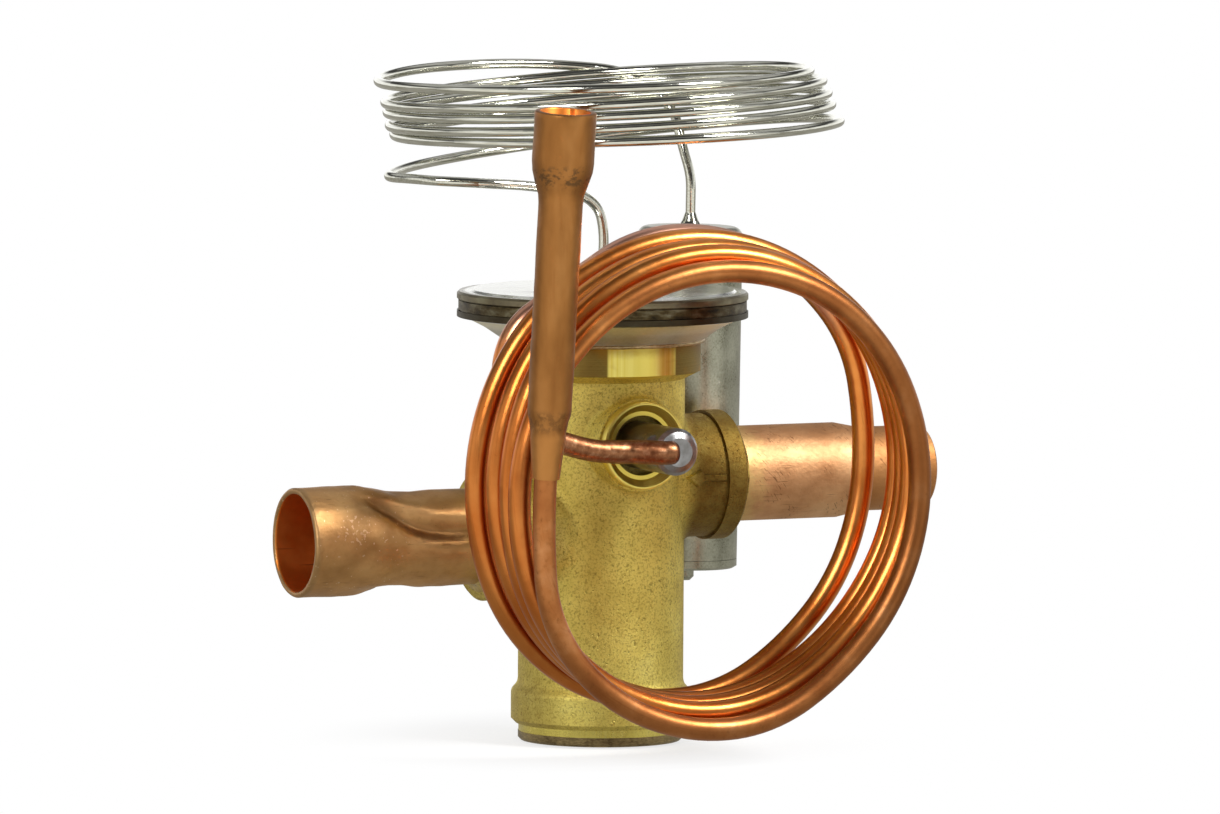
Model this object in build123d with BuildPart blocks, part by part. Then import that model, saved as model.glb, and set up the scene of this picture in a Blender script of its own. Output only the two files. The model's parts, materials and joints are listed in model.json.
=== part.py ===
"""Thermostatic expansion valve with an external equalizer line, a capillary and a bulb.

Millimetres, +Z up. The origin is the centre of the underside of the base disc. +X is the
inlet (liquid line), -X the outlet, -Y the equalizer side, +Y the bulb side.
"""

from build123d import *
import math
import os

# ------------------------------------------------------------------ clearances and fits
SLIDE_GAP = 0.04          # radial, a moving rod or pad in its guide
SEAL_GAP = 0.02           # radial, the rod in its seal
CONE_LIFT = 0.05          # axial, between the closed cone and its seat
TOUCH_GAP = 0.05          # axial, where the diaphragm and the spring bear on the moving set
SOLDER_GAP = 0.08         # radial, a tube in a soldered socket
WALL_TUBE = 1.0           # inlet and outlet tube wall
OVERCUT = 1.0             # how far a cutter reaches past what it cuts

# ------------------------------------------------------------------ base and body
BASE_R = 10.86
BASE_T = 1.23
BASE_EDGE = 0.35          # chamfer round the underside of the disc
LIP_R = 10.8
LIP_TOP = 2.26            # top of the turned lip under the foot flange
FOOT_R = 11.8
FLARE_START = 6.2         # where the flare leaves the foot flange
FLARE_WAIST = (0.32, 7.25)  # a point of the flare: how far outside the barrel, height
FLARE_TOP = 8.3           # where the flare meets the barrel
BARREL_R = 10.9
BARREL_TOP = 47.85
COLLAR_STEP = 2.05        # how far the collar stands over the barrel
COLLAR_BOTTOM = 48.9
COLLAR_TOP = 52.6
FOOT_EDGE = 0.6           # chamfer round the foot flange

# bores inside the body, from the top down
PAD_BORE_R = 9.2          # equalized chamber under the diaphragm
PAD_BORE_BOTTOM = 45.5
GUIDE_R = 6.2             # seat of the rod guide
GUIDE_BOTTOM = 38.0
INLET_CHAMBER_R = 5.6
INLET_CHAMBER_BOTTOM = 32.2
SEAT_R = 6.6              # the orifice seat is pressed in from below
SEAT_BOTTOM = 30.3
SPRING_BORE_R = 7.6
PLUG_R = 8.6
PLUG_TOP = 6.4
PORT_START = 3.0          # distance of a port's inner end from the middle of the body

# side bosses
INLET_Z = 34.5
OUTLET_Z = 27.5
BOSS_R = 8.15
BOSS_RING_R = 8.55
BOSS_RING_T = 2.84
BOSS_RING_EDGE = 0.35     # chamfer round the end rings
INLET_BOSS_RISE = 6.6     # how far the inlet boss stands over the barrel
OUTLET_BOSS_RISE = 7.0    # the same for the outlet boss
STUB_R = 6.3              # outside of both tubes near the body
STUB_DEPTH = 5.0          # how far a tube enters its boss
TUBE_END_GAP = 0.1        # axial, left behind its inner end
INLET_PORT_R = 2.2        # drilled passage behind the inlet tube
OUTLET_PORT_R = 2.6       # drilled passage behind the outlet tube

# equalizer boss
EQ_Z = 39.8
EQ_LIP_RISE = 1.3         # how far the turned lip stands over the fairing
EQ_LIP_R = 5.85
EQ_LIP_EDGE = 0.3         # rounding of the outer edge of the lip
EQ_MOUTH_R = 5.4          # the mouth is chamfered from here, on the face
EQ_MOUTH_FLOOR_R = 4.5    # down to here, where a narrow flat ring lies
EQ_MOUTH_DEPTH = 1.0
EQ_FAIRING_R = 8.3        # the cast fairing, at the axis
EQ_FAIRING_TOP_R = 6.1    # the same, at its face
EQ_FAIRING_RISE = 1.0     # how far the fairing stands over the barrel
EQ_POCKET_R = 3.95
EQ_POCKET_DEPTH = 2.6     # from the face of the lip
EQ_PASSAGE_R = 1.4
EQ_PASSAGE_START = 8.0    # inner end of the cross passage, from the body's axis
EQ_RISER_R = 1.1          # passage up to the chamber under the diaphragm
EQ_RISER_Y = 7.6
BOSS_FILLET = 1.5         # forged roots of the side bosses
FAIRING_FILLET = 1.0      # forged root of the equalizer boss

# ------------------------------------------------------------------ tubes
TUBE_IN_R = STUB_R - WALL_TUBE
OUT_SOCKET_R = 6.4        # inside radius of the outlet socket, for a 1/2 inch tube
OUT_SOCKET_OD_R = 7.18
OUT_SOCKET_LEN = 9.6
OUT_END = 44.3
OUT_NECK_END = 24.5       # the stub is full size up to here
OUT_NECK_SINK = 0.25      # how far the neck is drawn in behind it
OUT_NECK_RAMP = 2.2
OUT_FLARE_LEN = 3.0       # length of the flare up to the socket
OUT_FLARE_SINK = 0.1      # how far its start lies inside the stub's size
DENT_R = 6.0              # the round-nosed crimp that stops the mating tube
DENT_DEPTH = 1.7
CRIMPS = ((-28.8, 66), (-28.9, 186), (-29.0, 306))   # place along X, heading round the tube
IN_SOCKET_R = 4.8         # inside radius of the inlet socket, for a 3/8 inch tube
IN_SOCKET_OD_R = 5.58
IN_SOCKET_LEN = 7.6
IN_END = 46.8
IN_TAPER_START = 34.0
IN_TAPER_END = 37.6
IN_EDGE = 0.25            # chamfer at the end of the inlet socket
IN_STOP_LEN = 0.9         # the tube stop: its length and height
IN_STOP_STEP = 0.35
IN_BORE_LEAD = 2.0        # the bore starts to narrow this far before the outside does
BRAZE_R = 1.1             # size of the braze fillets round the tubes
BRAZE_HOLLOW = 1.6        # radius of their hollow faces, in sizes of the fillet

# ------------------------------------------------------------------ power element
RIM_R = 19.17
RIM_BOTTOM = 55.9
LOWER_RIM_T = 0.8
MID_RIM_T = 1.25
UPPER_RIM_T = 1.05
RIM_GROOVE = 0.1          # height of the weld lines between the rims
GROOVE_DEPTH = 0.42       # how far the weld lines lie behind the rim
MID_RIM_INSET = 0.19      # how far the middle ring lies behind the rim
RING_WIDTH = 1.88         # width of the middle ring
COVER_STEP = 1.57         # width of the rim round the raised disc of the cover
COVER_DOME = 0.55         # how far the cover stands over its rim
COVER_FLAT_R = 9.0        # the cover is nearly flat up to here
COVER_EDGE = 0.35         # width of the rounding at the edge of the raised disc
COVER_EDGE_RISE = 0.25    # height of the same
COVER_RIM_EDGE = 0.3      # chamfer round the top of the rim
COVER_LIP = 0.1           # smaller chamfer round the underside of the rim
COVER_HOLLOW = 1.0        # how far the hollow of the cover runs out under its rim
NECK_STEP = 0.65          # how far the neck of the housing stands over the collar
FLANGE_WIDTH = 3.47       # from the rim in to the funnel of the housing
FLANGE_SLOPE = 0.12       # how far the flange hangs under its own edge
FLANGE_EDGE = 1.1         # width of the upturned edge of the flange
FUNNEL_FOLD = 0.2         # how much the sheet draws in at the folds of the funnel
NECK_TOP = 53.2
FUNNEL_TOP = 54.6
SHEET = 0.8               # sheet thickness of the cover and the housing
DIAPHRAGM_T = 0.15
DIAPHRAGM_DISH = 1.1      # how far its centre hangs under its rim
DIAPHRAGM_INSET = 0.57    # how far its edge lies behind the rim
# corrugation of the diaphragm: (distance outside the pad, height over its middle)
DIAPHRAGM_WAVES = ((-1.4, 0.0), (1.2, 0.6), (3.2, 0.5))
# solder round the capillary on the head: (radius, height over the cover)
HEAD_SOLDER = ((1.9, 0.0), (1.75, 0.7), (1.1, 1.5))
HEAD_SOLDER_TOP = 1.9

# ------------------------------------------------------------------ mechanism
ROD_R = 1.5
PAD_R = 8.4
PAD_T = 1.6
PAD_BEVEL = (2.6, 0.7)    # chamfer under the pad: width, height
PAD_HUB_R = 2.6
PAD_HUB_DROP = 1.4
PAD_HOLE_R = 0.9          # four vent holes through the pad
PAD_HOLE_REACH = 6.05
ROD_IN_PAD = 0.9          # how far the rod stands into the hub of the pad
ROD_EDGE = 0.3
ROD_TIP_STEP = 0.35       # how much thinner the rod is through the orifice
ROD_TIP_TOP = (0.6, 1.0)  # the step's two heights over the seat
SEAL_T = 1.2
SEAL_W = 1.4              # width of the seal's groove, from the rod out
WASHER_T = 0.9
GUIDE_CROWN = (1.6, 1.0)  # chamfered crown of the guide: width, height
ORIFICE_R = 2.3
ORIFICE_LEAD = (0.9, 0.8)  # chamfer over the orifice: width, depth
ORIFICE_FACE = (0.7, 0.5)  # seating chamfer under it: width, height
CONE_R = 3.4
CONE_NOSE_R = 2.75
CONE_NOSE_H = 0.7
CONE_SHANK_R = 2.6
CONE_HEAD_H = 1.5
CONE_SHANK_END = 2.4
CUP_R = 5.2
CUP_T = 2.2
CUP_BOSS_R = 2.9          # locates the spring from inside
CUP_BOSS_H = 0.9
SPRING_WIRE_R = 0.55
SPRING_R = 4.2            # centre-line radius of the superheat spring
SPRING_TURNS = 6
SPRING_SEAT_R = 7.6
SPRING_SEAT_BOTTOM = 7.4
SPRING_SEAT_T = 2.6
SPRING_SEAT_EDGE = 0.3
SPRING_POST_H = 2.7       # post inside the spring's lowest turn
SPRING_POST_EDGE = 0.5
KEY_SLOT = (1.2, 9.0, 2.4)  # driver slot under the spring seat
GROOVE_LOW = 2.6          # the plug's seal groove, measured down from its top
GROOVE_HIGH = 1.2
GROOVE_CUT = 1.1

# ------------------------------------------------------------------ bulb
BULB_HEADING = 39.36      # degrees from +X towards +Y
BULB_HEAD_GAP = 0.48      # between the bulb and the rim of the head, at the bulb's middle height
BULB_R = 7.0
BULB_WALL = 0.7
BULB_BOTTOM = 20.6
BULB_TOP = 66.1
BULB_LEAN = 0.75          # degrees, top towards +X
BULB_CAP_T = 1.3
BULB_SHOULDER = 1.3       # rounding of the spun top
BULB_CROWN = 0.1          # how far the middle of the top stands up
BULB_SEAM = 0.05          # the line between the shell and its end cap
BULB_PLUG_LEN = 1.5       # how far the end cap reaches into the shell
BULB_CAP_EDGE = (0.5, 0.3)
NUB_R, NUB_L = 1.3, 1.8
NUB_EDGE = 0.5
# solder round the capillary on the bulb: (radius, height over the crown)
BULB_SOLDER = ((1.5, 0.0), (1.15, 0.6), (0.85, 1.4))
BULB_SOLDER_TOP = 1.7

# ------------------------------------------------------------------ capillary
CAP_R = 0.65
CAP_TURN = -25.5          # the coil was wound with its widest side along this heading
CAP_DEPTH = 28.5          # half depth of the coil
# half turns of the coil from the head to the bulb: (half width reached, height there)
CAP_HALVES = [
    (-28.1, 74.3), (31.0, 81.8), (-27.5, 79.7), (29.9, 84.0), (-28.1, 80.9), (29.4, 85.5),
    (-28.4, 82.6), (28.7, 87.1), (-28.7, 83.9), (27.0, 88.4), (-29.6, 86.7),
]
# points before and after those turns: (across, deep, height)
CAP_RISE = [
    (0, 0, 67.4), (-0.9, -0.35, 70.3), (-3.6, -1.9, 72.2), (-9.4, -5.2, 73.3), (-16.4, -8.2, 73.9),
    (-23.3, -7.4, 74.2),
]
CAP_OVER = [(-22.4, 19.0, 87.4), (-7.0, 28.2, 87.3), (4.6, 28.4, 85.6)]
# points over the bulb: (across, deep from the bulb, height)
CAP_DROP = [(9.0, 2.9, 81.4), (10.3, 0.9, 77.6)]
CAP_STAND = 2.4           # the capillary leaves the head straight up to here
CAP_BULB_STAND = 5.0      # and enters the bulb straight from here
CAP_SINK = 0.6            # how far it reaches into the head and the bulb

# ------------------------------------------------------------------ equalizer line
EQ_TUBE_R = 1.48
NIPPLE_R = 3.1
NIPPLE_STAND = 10.3       # how far the nipple stands out of the lip
NIPPLE_DOME = ((0.0, 1.0), (0.45, 0.4), (1.2, 0.0))  # (inside its size, short of its end)
NIPPLE_CAP_T = 1.2
NIPPLE_BORE_R = 1.7
EQ_ENTRY_Y = 20.3         # where the line enters the side of the nipple
# braze round it there: (outside the line, past the side of the nipple)
EQ_BRAZE = ((0.95, 0.0), (0.8, 0.75), (0.3, 1.25))
EQ_BRAZE_END = 1.7
EQ_BRAZE_SINK = 0.4       # how far it starts behind the side of the nipple
COIL_X, COIL_Z = 0.5, 37.0  # axis of the equalizer coil, along Y
COIL_START_Y = 21.6
# the lead from the nipple up to the coil: (x, further out than its entry, higher than its entry)
LEAD = [(-5.2, 0.0, 0.0), (-12.7, 0.1, 0.75), (-20.4, 0.5, 4.0), (-24.4, 1.0, 10.8)]
LINE_STRAIGHT = 0.4       # the line runs straight for this long before the reducer
COIL_PITCH = 3.3
# distance of the line from the axis at each eighth of a turn; every row starts at 9 o'clock
# and runs clockwise as seen from -Y. The hand-formed turns differ, so each has its own row.
COIL_REACHES = [
    (None, 30.1, 31.1, 29.8, 26.3, 26.6, 29.3, 31.0),
    (30.3, 30.4, 30.7, 30.6, 29.8, 28.9, 29.5, 29.7),
    (28.9, 29.2, 29.6, 29.7, 29.2, 28.7, 29.7, 30.0),
    (28.5, 28.8, 29.1, 29.0, 28.4, 28.3, 30.1, 30.4),
    (28.7, 27.5, 27.3, 27.9, 28.0, 29.1, 32.0, 31.3),
]
# reducer (soldered end of the line), along its own leaning axis
RED_FOOT_X, RED_FOOT_Z = -26.45, 38.6
RED_FOOT_OUT = 0.75       # how far its foot stands in front of the coil's last turn
RED_LEAN = (0.65, -4.05, 47.4)  # from its foot to its head
RED_NECK_R = 2.85
RED_SOCKET_R = 3.2        # inside radius of the socket, for a 1/4 inch tube
RED_SOCKET_OD_R = 4.0
# swell of its foot: (radius, height along the axis)
RED_SWELL = ((1.66, 0.0), (1.78, 3.3), (2.3, 5.8), (2.72, 7.6))
RED_SHOULDER_HIGH = 8.9   # heights along the axis from the foot
RED_STOP = 5.7            # the line ends here inside it
RED_BORE_OPEN = 6.3
RED_TAPER_LOW = 36.4
RED_TAPER_HIGH = 40.4
RED_BORE_LEN = 6.6
RED_WALL = 0.8
RED_END_EDGE = 0.15

POINTS_PER_TURN = 8       # points that place each turn of a winding

# ------------------------------------------------------------------ derived sizes
COLLAR_R = BARREL_R + COLLAR_STEP
INLET_FACE = BARREL_R + INLET_BOSS_RISE
OUTLET_FACE = BARREL_R + OUTLET_BOSS_RISE
EQ_FAIRING_FACE = BARREL_R + EQ_FAIRING_RISE
EQ_FACE = EQ_FAIRING_FACE + EQ_LIP_RISE
EQ_POCKET_FLOOR = EQ_FACE - EQ_POCKET_DEPTH
NIPPLE_END = EQ_FACE + NIPPLE_STAND
BULB_X = (RIM_R + BULB_HEAD_GAP + BULB_R) * math.cos(math.radians(BULB_HEADING))
BULB_Y = (RIM_R + BULB_HEAD_GAP + BULB_R) * math.sin(math.radians(BULB_HEADING))
CAP_HOLE_R = CAP_R + SOLDER_GAP
GROOVE_R = RIM_R - GROOVE_DEPTH
MID_RIM_R = RIM_R - MID_RIM_INSET
RING_R = MID_RIM_R - RING_WIDTH
COVER_DISC_R = RIM_R - COVER_STEP
DIAPHRAGM_R = RIM_R - DIAPHRAGM_INSET
FUNNEL_R = RIM_R - FLANGE_WIDTH
NECK_R = COLLAR_R + NECK_STEP
LOWER_RIM_TOP = RIM_BOTTOM + LOWER_RIM_T
MID_RIM_BOTTOM = LOWER_RIM_TOP + RIM_GROOVE
MID_RIM_TOP = MID_RIM_BOTTOM + MID_RIM_T
DIAPHRAGM_Z = MID_RIM_TOP
COVER_BOTTOM = DIAPHRAGM_Z + DIAPHRAGM_T
COVER_TOP = COVER_BOTTOM + UPPER_RIM_T
HEAD_TOP = COVER_TOP + COVER_DOME
PAD_TOP = DIAPHRAGM_Z - DIAPHRAGM_DISH - TOUCH_GAP
SEAT_TOP = INLET_CHAMBER_BOTTOM
CONE_TOP = SEAT_BOTTOM - CONE_LIFT
CUP_TOP = CONE_TOP - CONE_HEAD_H
CUP_FLOOR = CUP_TOP - CUP_T
SPRING_SEAT_TOP = SPRING_SEAT_BOTTOM + SPRING_SEAT_T
PAD_BOTTOM = PAD_TOP - PAD_T
SEAL_BOTTOM = GUIDE_BOTTOM + WASHER_T
SEAL_TOP = SEAL_BOTTOM + SEAL_T


def place(part, name):
    """Names a finished sub-part and writes its file."""
    part.label = name
    export_step(part, f"parts/{name}.step")


def turned(points):
    """A closed profile of (radius, height) points turned about Z, in the open builder."""
    with BuildSketch(Plane.XZ) as profile:
        with BuildLine():
            Polyline(*points, close=True)
        make_face()
    revolve(profile.sketch, axis=Axis.Z)


def turned_ring(z_low, z_high, r_in, r_out):
    turned([(r_in, z_low), (r_out, z_low), (r_out, z_high), (r_in, z_high)])


def pipe_route(points, first, last):
    """Smooth route through the points: two arcs between each pair, all of them tangent."""
    pts = [Vector(*p) for p in points]
    dirs = [Vector(*first).normalized()]
    for before, after in zip(pts, pts[2:]):
        dirs.append((after - before).normalized())
    dirs.append(Vector(*last).normalized())
    for p, q, a, b in zip(pts, pts[1:], dirs, dirs[1:]):
        chord, both = q - p, a + b
        k2, k1, k0 = both.dot(both) - 4.0, -2.0 * chord.dot(both), chord.dot(chord)
        if abs(k2) < 1e-7:
            Line(p, q)
            continue
        reach = (-k1 - math.sqrt(k1 * k1 - 4.0 * k2 * k0)) / (2.0 * k2)
        middle = (p + a * reach + q - b * reach) * 0.5
        turn = (q - b * reach - p - a * reach).normalized()
        TangentArc(p, middle, tangent=a)
        TangentArc(middle, q, tangent=turn)


def forged_roots(part, z_low, z_high):
    """The curved seams where bosses meet the barrel, between two heights."""
    return [
        e for e in part.edges()
        if e.geom_type not in (GeomType.CIRCLE, GeomType.LINE) and z_low < e.center().Z < z_high
    ]


def half_wave(low, high, share):
    """Value between two turning points of a winding."""
    return (low + high) / 2 - (high - low) / 2 * math.cos(math.pi * share)


POINT_STEP = 360 / POINTS_PER_TURN
SIDES = ((1, INLET_Z, INLET_FACE), (-1, OUTLET_Z, OUTLET_FACE))
BASE = (Align.CENTER, Align.CENTER, Align.MIN)

os.makedirs("parts", exist_ok=True)

# ================================================================== base disc
with BuildPart() as base_disc:
    turned([(0, 0), (BASE_R - BASE_EDGE, 0), (BASE_R, BASE_EDGE), (BASE_R, BASE_T), (0, BASE_T)])
place(base_disc.part, "base_disc")

# ================================================================== valve body
with BuildPart() as valve_body:
    with BuildSketch(Plane.XZ):
        with BuildLine():
            waist_step, waist_z = FLARE_WAIST
            Polyline(
                (0, BASE_T), (LIP_R, BASE_T), (LIP_R, LIP_TOP), (FOOT_R - FOOT_EDGE, LIP_TOP),
                (FOOT_R, LIP_TOP + FOOT_EDGE), (FOOT_R, FLARE_START),
            )
            Spline(
                (FOOT_R, FLARE_START), (BARREL_R + waist_step, waist_z), (BARREL_R, FLARE_TOP),
                tangents=[(0, 1), (0, 1)],
            )
            Polyline(
                (BARREL_R, FLARE_TOP), (BARREL_R, BARREL_TOP), (COLLAR_R, COLLAR_BOTTOM),
                (COLLAR_R, COLLAR_TOP), (0, COLLAR_TOP), (0, BASE_T),
            )
        make_face()
    revolve(axis=Axis.Z)
    # side bosses, their forged roots and their end rings
    for side, z, face in SIDES:
        with Locations(Plane(origin=(0, 0, z), z_dir=(side, 0, 0))):
            Cylinder(BOSS_R, face - BOSS_RING_EDGE, align=BASE)
    fillet(forged_roots(valve_body, OUTLET_Z - BOSS_R, INLET_Z + BOSS_R), BOSS_FILLET)
    for side, z, face in SIDES:
        with Locations(Plane(origin=(side * (face - BOSS_RING_T), 0, z), z_dir=(side, 0, 0))):
            Cylinder(BOSS_RING_R, BOSS_RING_T, align=BASE)
        ring_edges = [
            e for e in valve_body.edges().filter_by(GeomType.CIRCLE)
            if abs(e.radius - BOSS_RING_R) < 1e-3 and abs(e.arc_center.X - side * face) < 1e-3
        ]
        chamfer(ring_edges, BOSS_RING_EDGE)
    # equalizer boss: a cast fairing and a turned lip
    with Locations(Plane(origin=(0, 0, EQ_Z), z_dir=(0, -1, 0))):
        Cone(EQ_FAIRING_R, EQ_FAIRING_TOP_R, EQ_FAIRING_FACE, align=BASE)
    fillet(
        [e for e in forged_roots(valve_body, OUTLET_Z, BARREL_TOP) if e.center().Y < -EQ_LIP_R],
        FAIRING_FILLET)
    with Locations(Plane(origin=(0, 0, EQ_Z), z_dir=(0, -1, 0))):
        Cylinder(EQ_LIP_R, EQ_FACE, align=BASE)
    lip_edge = [
        e for e in valve_body.edges().filter_by(GeomType.CIRCLE)
        if abs(e.radius - EQ_LIP_R) < 1e-3 and abs(e.arc_center.Y + EQ_FACE) < 1e-3
    ]
    fillet(lip_edge, EQ_LIP_EDGE)
    # the stepped bore
    with Locations((0, 0, 0)):
        with BuildSketch(Plane.XZ) as bore_profile:
            with BuildLine():
                Polyline(
                    (0, BASE_T - OVERCUT), (PLUG_R, BASE_T - OVERCUT), (PLUG_R, PLUG_TOP),
                    (SPRING_BORE_R, PLUG_TOP), (SPRING_BORE_R, SEAT_BOTTOM), (SEAT_R, SEAT_BOTTOM),
                    (SEAT_R, SEAT_TOP), (INLET_CHAMBER_R, SEAT_TOP), (INLET_CHAMBER_R, GUIDE_BOTTOM),
                    (GUIDE_R, GUIDE_BOTTOM), (GUIDE_R, PAD_BORE_BOTTOM), (PAD_BORE_R, PAD_BORE_BOTTOM),
                    (PAD_BORE_R, COLLAR_TOP + OVERCUT), (0, COLLAR_TOP + OVERCUT), close=True,
                )
            make_face()
        revolve(axis=Axis.Z, mode=Mode.SUBTRACT)
    # tube sockets and ports in the bosses
    for side, z, face in SIDES:
        with Locations(Plane(origin=(side * (face - STUB_DEPTH), 0, z), z_dir=(side, 0, 0))):
            Cylinder(STUB_R + SOLDER_GAP, STUB_DEPTH + OVERCUT, align=BASE, mode=Mode.SUBTRACT)
        with Locations(Plane(origin=(side * PORT_START, 0, z), z_dir=(side, 0, 0))):
            port_r = INLET_PORT_R if side > 0 else OUTLET_PORT_R
            Cylinder(port_r, face - PORT_START, align=BASE, mode=Mode.SUBTRACT)
    # equalizer pocket with its chamfered mouth, and the passage up to the chamber under the diaphragm
    with Locations(Plane(origin=(0, -EQ_POCKET_FLOOR, EQ_Z), z_dir=(0, -1, 0))):
        Cylinder(EQ_POCKET_R, EQ_FACE, align=BASE, mode=Mode.SUBTRACT)
    with Locations(Plane(origin=(0, -(EQ_FACE - EQ_MOUTH_DEPTH), EQ_Z), z_dir=(0, -1, 0))):
        Cone(EQ_MOUTH_FLOOR_R, EQ_MOUTH_R, EQ_MOUTH_DEPTH, align=BASE, mode=Mode.SUBTRACT)
    with Locations(Plane(origin=(0, -EQ_PASSAGE_START, EQ_Z), z_dir=(0, -1, 0))):
        Cylinder(EQ_PASSAGE_R, EQ_FACE - EQ_PASSAGE_START, align=BASE, mode=Mode.SUBTRACT)
    with Locations((0, -EQ_RISER_Y, EQ_Z)):
        Cylinder(EQ_RISER_R, PAD_BORE_BOTTOM - EQ_Z + OVERCUT, align=BASE, mode=Mode.SUBTRACT)
place(valve_body.part, "valve_body")

# ================================================================== outlet tube
with BuildPart() as outlet_tube:
    def outlet_skin(r_stub, r_socket, x_inner, x_outer, nose):
        """Outside or inside skin of the outlet tube, with the crimp pressed into it."""
        x_taper = OUT_END - OUT_SOCKET_LEN
        with BuildPart(mode=Mode.PRIVATE) as skin:
            with BuildSketch(Plane.XY):
                with BuildLine():
                    Polyline(
                        (-x_inner, 0), (-x_inner, r_stub), (-OUT_NECK_END, r_stub),
                        (-OUT_NECK_END - OUT_NECK_RAMP, r_stub - OUT_NECK_SINK),
                        (-x_taper + OUT_FLARE_LEN, r_stub - OUT_FLARE_SINK),
                        (-x_taper, r_socket), (-x_outer, r_socket), (-x_outer, 0), close=True,
                    )
                make_face()
            revolve(axis=Axis.X)
            for x, deg in CRIMPS:
                a = math.radians(deg)
                out = STUB_R - DENT_DEPTH + DENT_R
                with Locations((x, -out * math.sin(a), out * math.cos(a))):
                    Sphere(nose, mode=Mode.SUBTRACT)
        return skin.part

    out_start = OUTLET_FACE - STUB_DEPTH + TUBE_END_GAP
    shell = outlet_skin(STUB_R, OUT_SOCKET_OD_R, out_start, OUT_END, DENT_R)
    hollow = outlet_skin(
        TUBE_IN_R, OUT_SOCKET_R, out_start - OVERCUT, OUT_END + OVERCUT, DENT_R + WALL_TUBE)
    add(Pos(0, 0, OUTLET_Z) * (shell - hollow))
place(outlet_tube.part, "outlet_tube")

# ================================================================== inlet tube
with BuildPart() as inlet_tube:
    with BuildSketch(Plane.XY):
        with BuildLine():
            in_start = INLET_FACE - STUB_DEPTH + TUBE_END_GAP
            x_stop = IN_END - IN_SOCKET_LEN
            Polyline(
                (in_start, TUBE_IN_R), (in_start, STUB_R), (IN_TAPER_START, STUB_R),
                (IN_TAPER_END, IN_SOCKET_OD_R), (IN_END - IN_EDGE, IN_SOCKET_OD_R),
                (IN_END, IN_SOCKET_OD_R - IN_EDGE), (IN_END, IN_SOCKET_R), (x_stop, IN_SOCKET_R),
                (x_stop - IN_STOP_LEN, IN_SOCKET_R - IN_STOP_STEP),
                (IN_TAPER_START - IN_BORE_LEAD, TUBE_IN_R), close=True,
            )
        make_face()
    revolve(axis=Axis.X)
place(Pos(0, 0, INLET_Z) * inlet_tube.part, "inlet_tube")

# ================================================================== braze fillets
for name, (side, z, face) in zip(("inlet_braze", "outlet_braze"), SIDES):
    with BuildPart() as braze:
        with BuildSketch(Plane.XY):
            with BuildLine():
                Polyline((face, STUB_R), (face, STUB_R + BRAZE_R))
                RadiusArc((face, STUB_R + BRAZE_R), (face + BRAZE_R, STUB_R), -BRAZE_HOLLOW * BRAZE_R)
                Line((face + BRAZE_R, STUB_R), (face, STUB_R))
            make_face()
        revolve(axis=Axis.X)
    part = braze.part if side > 0 else braze.part.mirror(Plane.YZ)
    place(Pos(0, 0, z) * part, name)

# ================================================================== power element
with BuildPart() as head_housing:
    turned([
        (PAD_BORE_R, COLLAR_TOP), (COLLAR_R, COLLAR_TOP), (NECK_R, NECK_TOP), (FUNNEL_R, FUNNEL_TOP),
        (RIM_R - FLANGE_EDGE, RIM_BOTTOM - FLANGE_SLOPE), (RIM_R, RIM_BOTTOM), (RIM_R, LOWER_RIM_TOP),
        (FUNNEL_R + SHEET, LOWER_RIM_TOP), (FUNNEL_R - FUNNEL_FOLD, FUNNEL_TOP + SHEET),
        (NECK_R - SHEET, NECK_TOP + SHEET + FUNNEL_FOLD), (PAD_BORE_R, NECK_TOP + SHEET),
    ])
place(head_housing.part, "head_housing")

with BuildPart() as head_ring:
    turned([
        (RING_R, LOWER_RIM_TOP), (GROOVE_R, LOWER_RIM_TOP), (GROOVE_R, MID_RIM_BOTTOM),
        (MID_RIM_R, MID_RIM_BOTTOM), (MID_RIM_R, MID_RIM_TOP), (RING_R, MID_RIM_TOP),
    ])
place(head_ring.part, "head_ring")

with BuildPart() as diaphragm:
    sheet_low = [(0, DIAPHRAGM_Z - DIAPHRAGM_DISH)]
    for step, height in DIAPHRAGM_WAVES:
        sheet_low.append((PAD_R + step, DIAPHRAGM_Z - DIAPHRAGM_DISH + height))
    sheet_low += [(FUNNEL_R, DIAPHRAGM_Z), (DIAPHRAGM_R, DIAPHRAGM_Z)]
    turned(sheet_low + [(r, z + DIAPHRAGM_T) for r, z in reversed(sheet_low)])
place(diaphragm.part, "diaphragm")

with BuildPart() as head_cover:
    turned([
        (CAP_HOLE_R, HEAD_TOP - SHEET), (COVER_FLAT_R, HEAD_TOP - SHEET), (FUNNEL_R, COVER_TOP - SHEET),
        (FUNNEL_R + COVER_HOLLOW, COVER_BOTTOM), (RIM_R - COVER_LIP, COVER_BOTTOM),
        (RIM_R, COVER_BOTTOM + COVER_LIP), (RIM_R, COVER_TOP - COVER_RIM_EDGE),
        (RIM_R - COVER_RIM_EDGE, COVER_TOP), (COVER_DISC_R, COVER_TOP),
        (COVER_DISC_R - COVER_EDGE, COVER_TOP + COVER_EDGE_RISE), (COVER_FLAT_R, HEAD_TOP),
        (CAP_HOLE_R, HEAD_TOP),
    ])
place(head_cover.part, "head_cover")

with BuildPart() as head_ferrule:
    solder = [(r, HEAD_TOP + h) for r, h in HEAD_SOLDER]
    turned([(CAP_HOLE_R, HEAD_TOP), *solder, (CAP_HOLE_R, HEAD_TOP + HEAD_SOLDER_TOP)])
place(head_ferrule.part, "head_ferrule")

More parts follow.
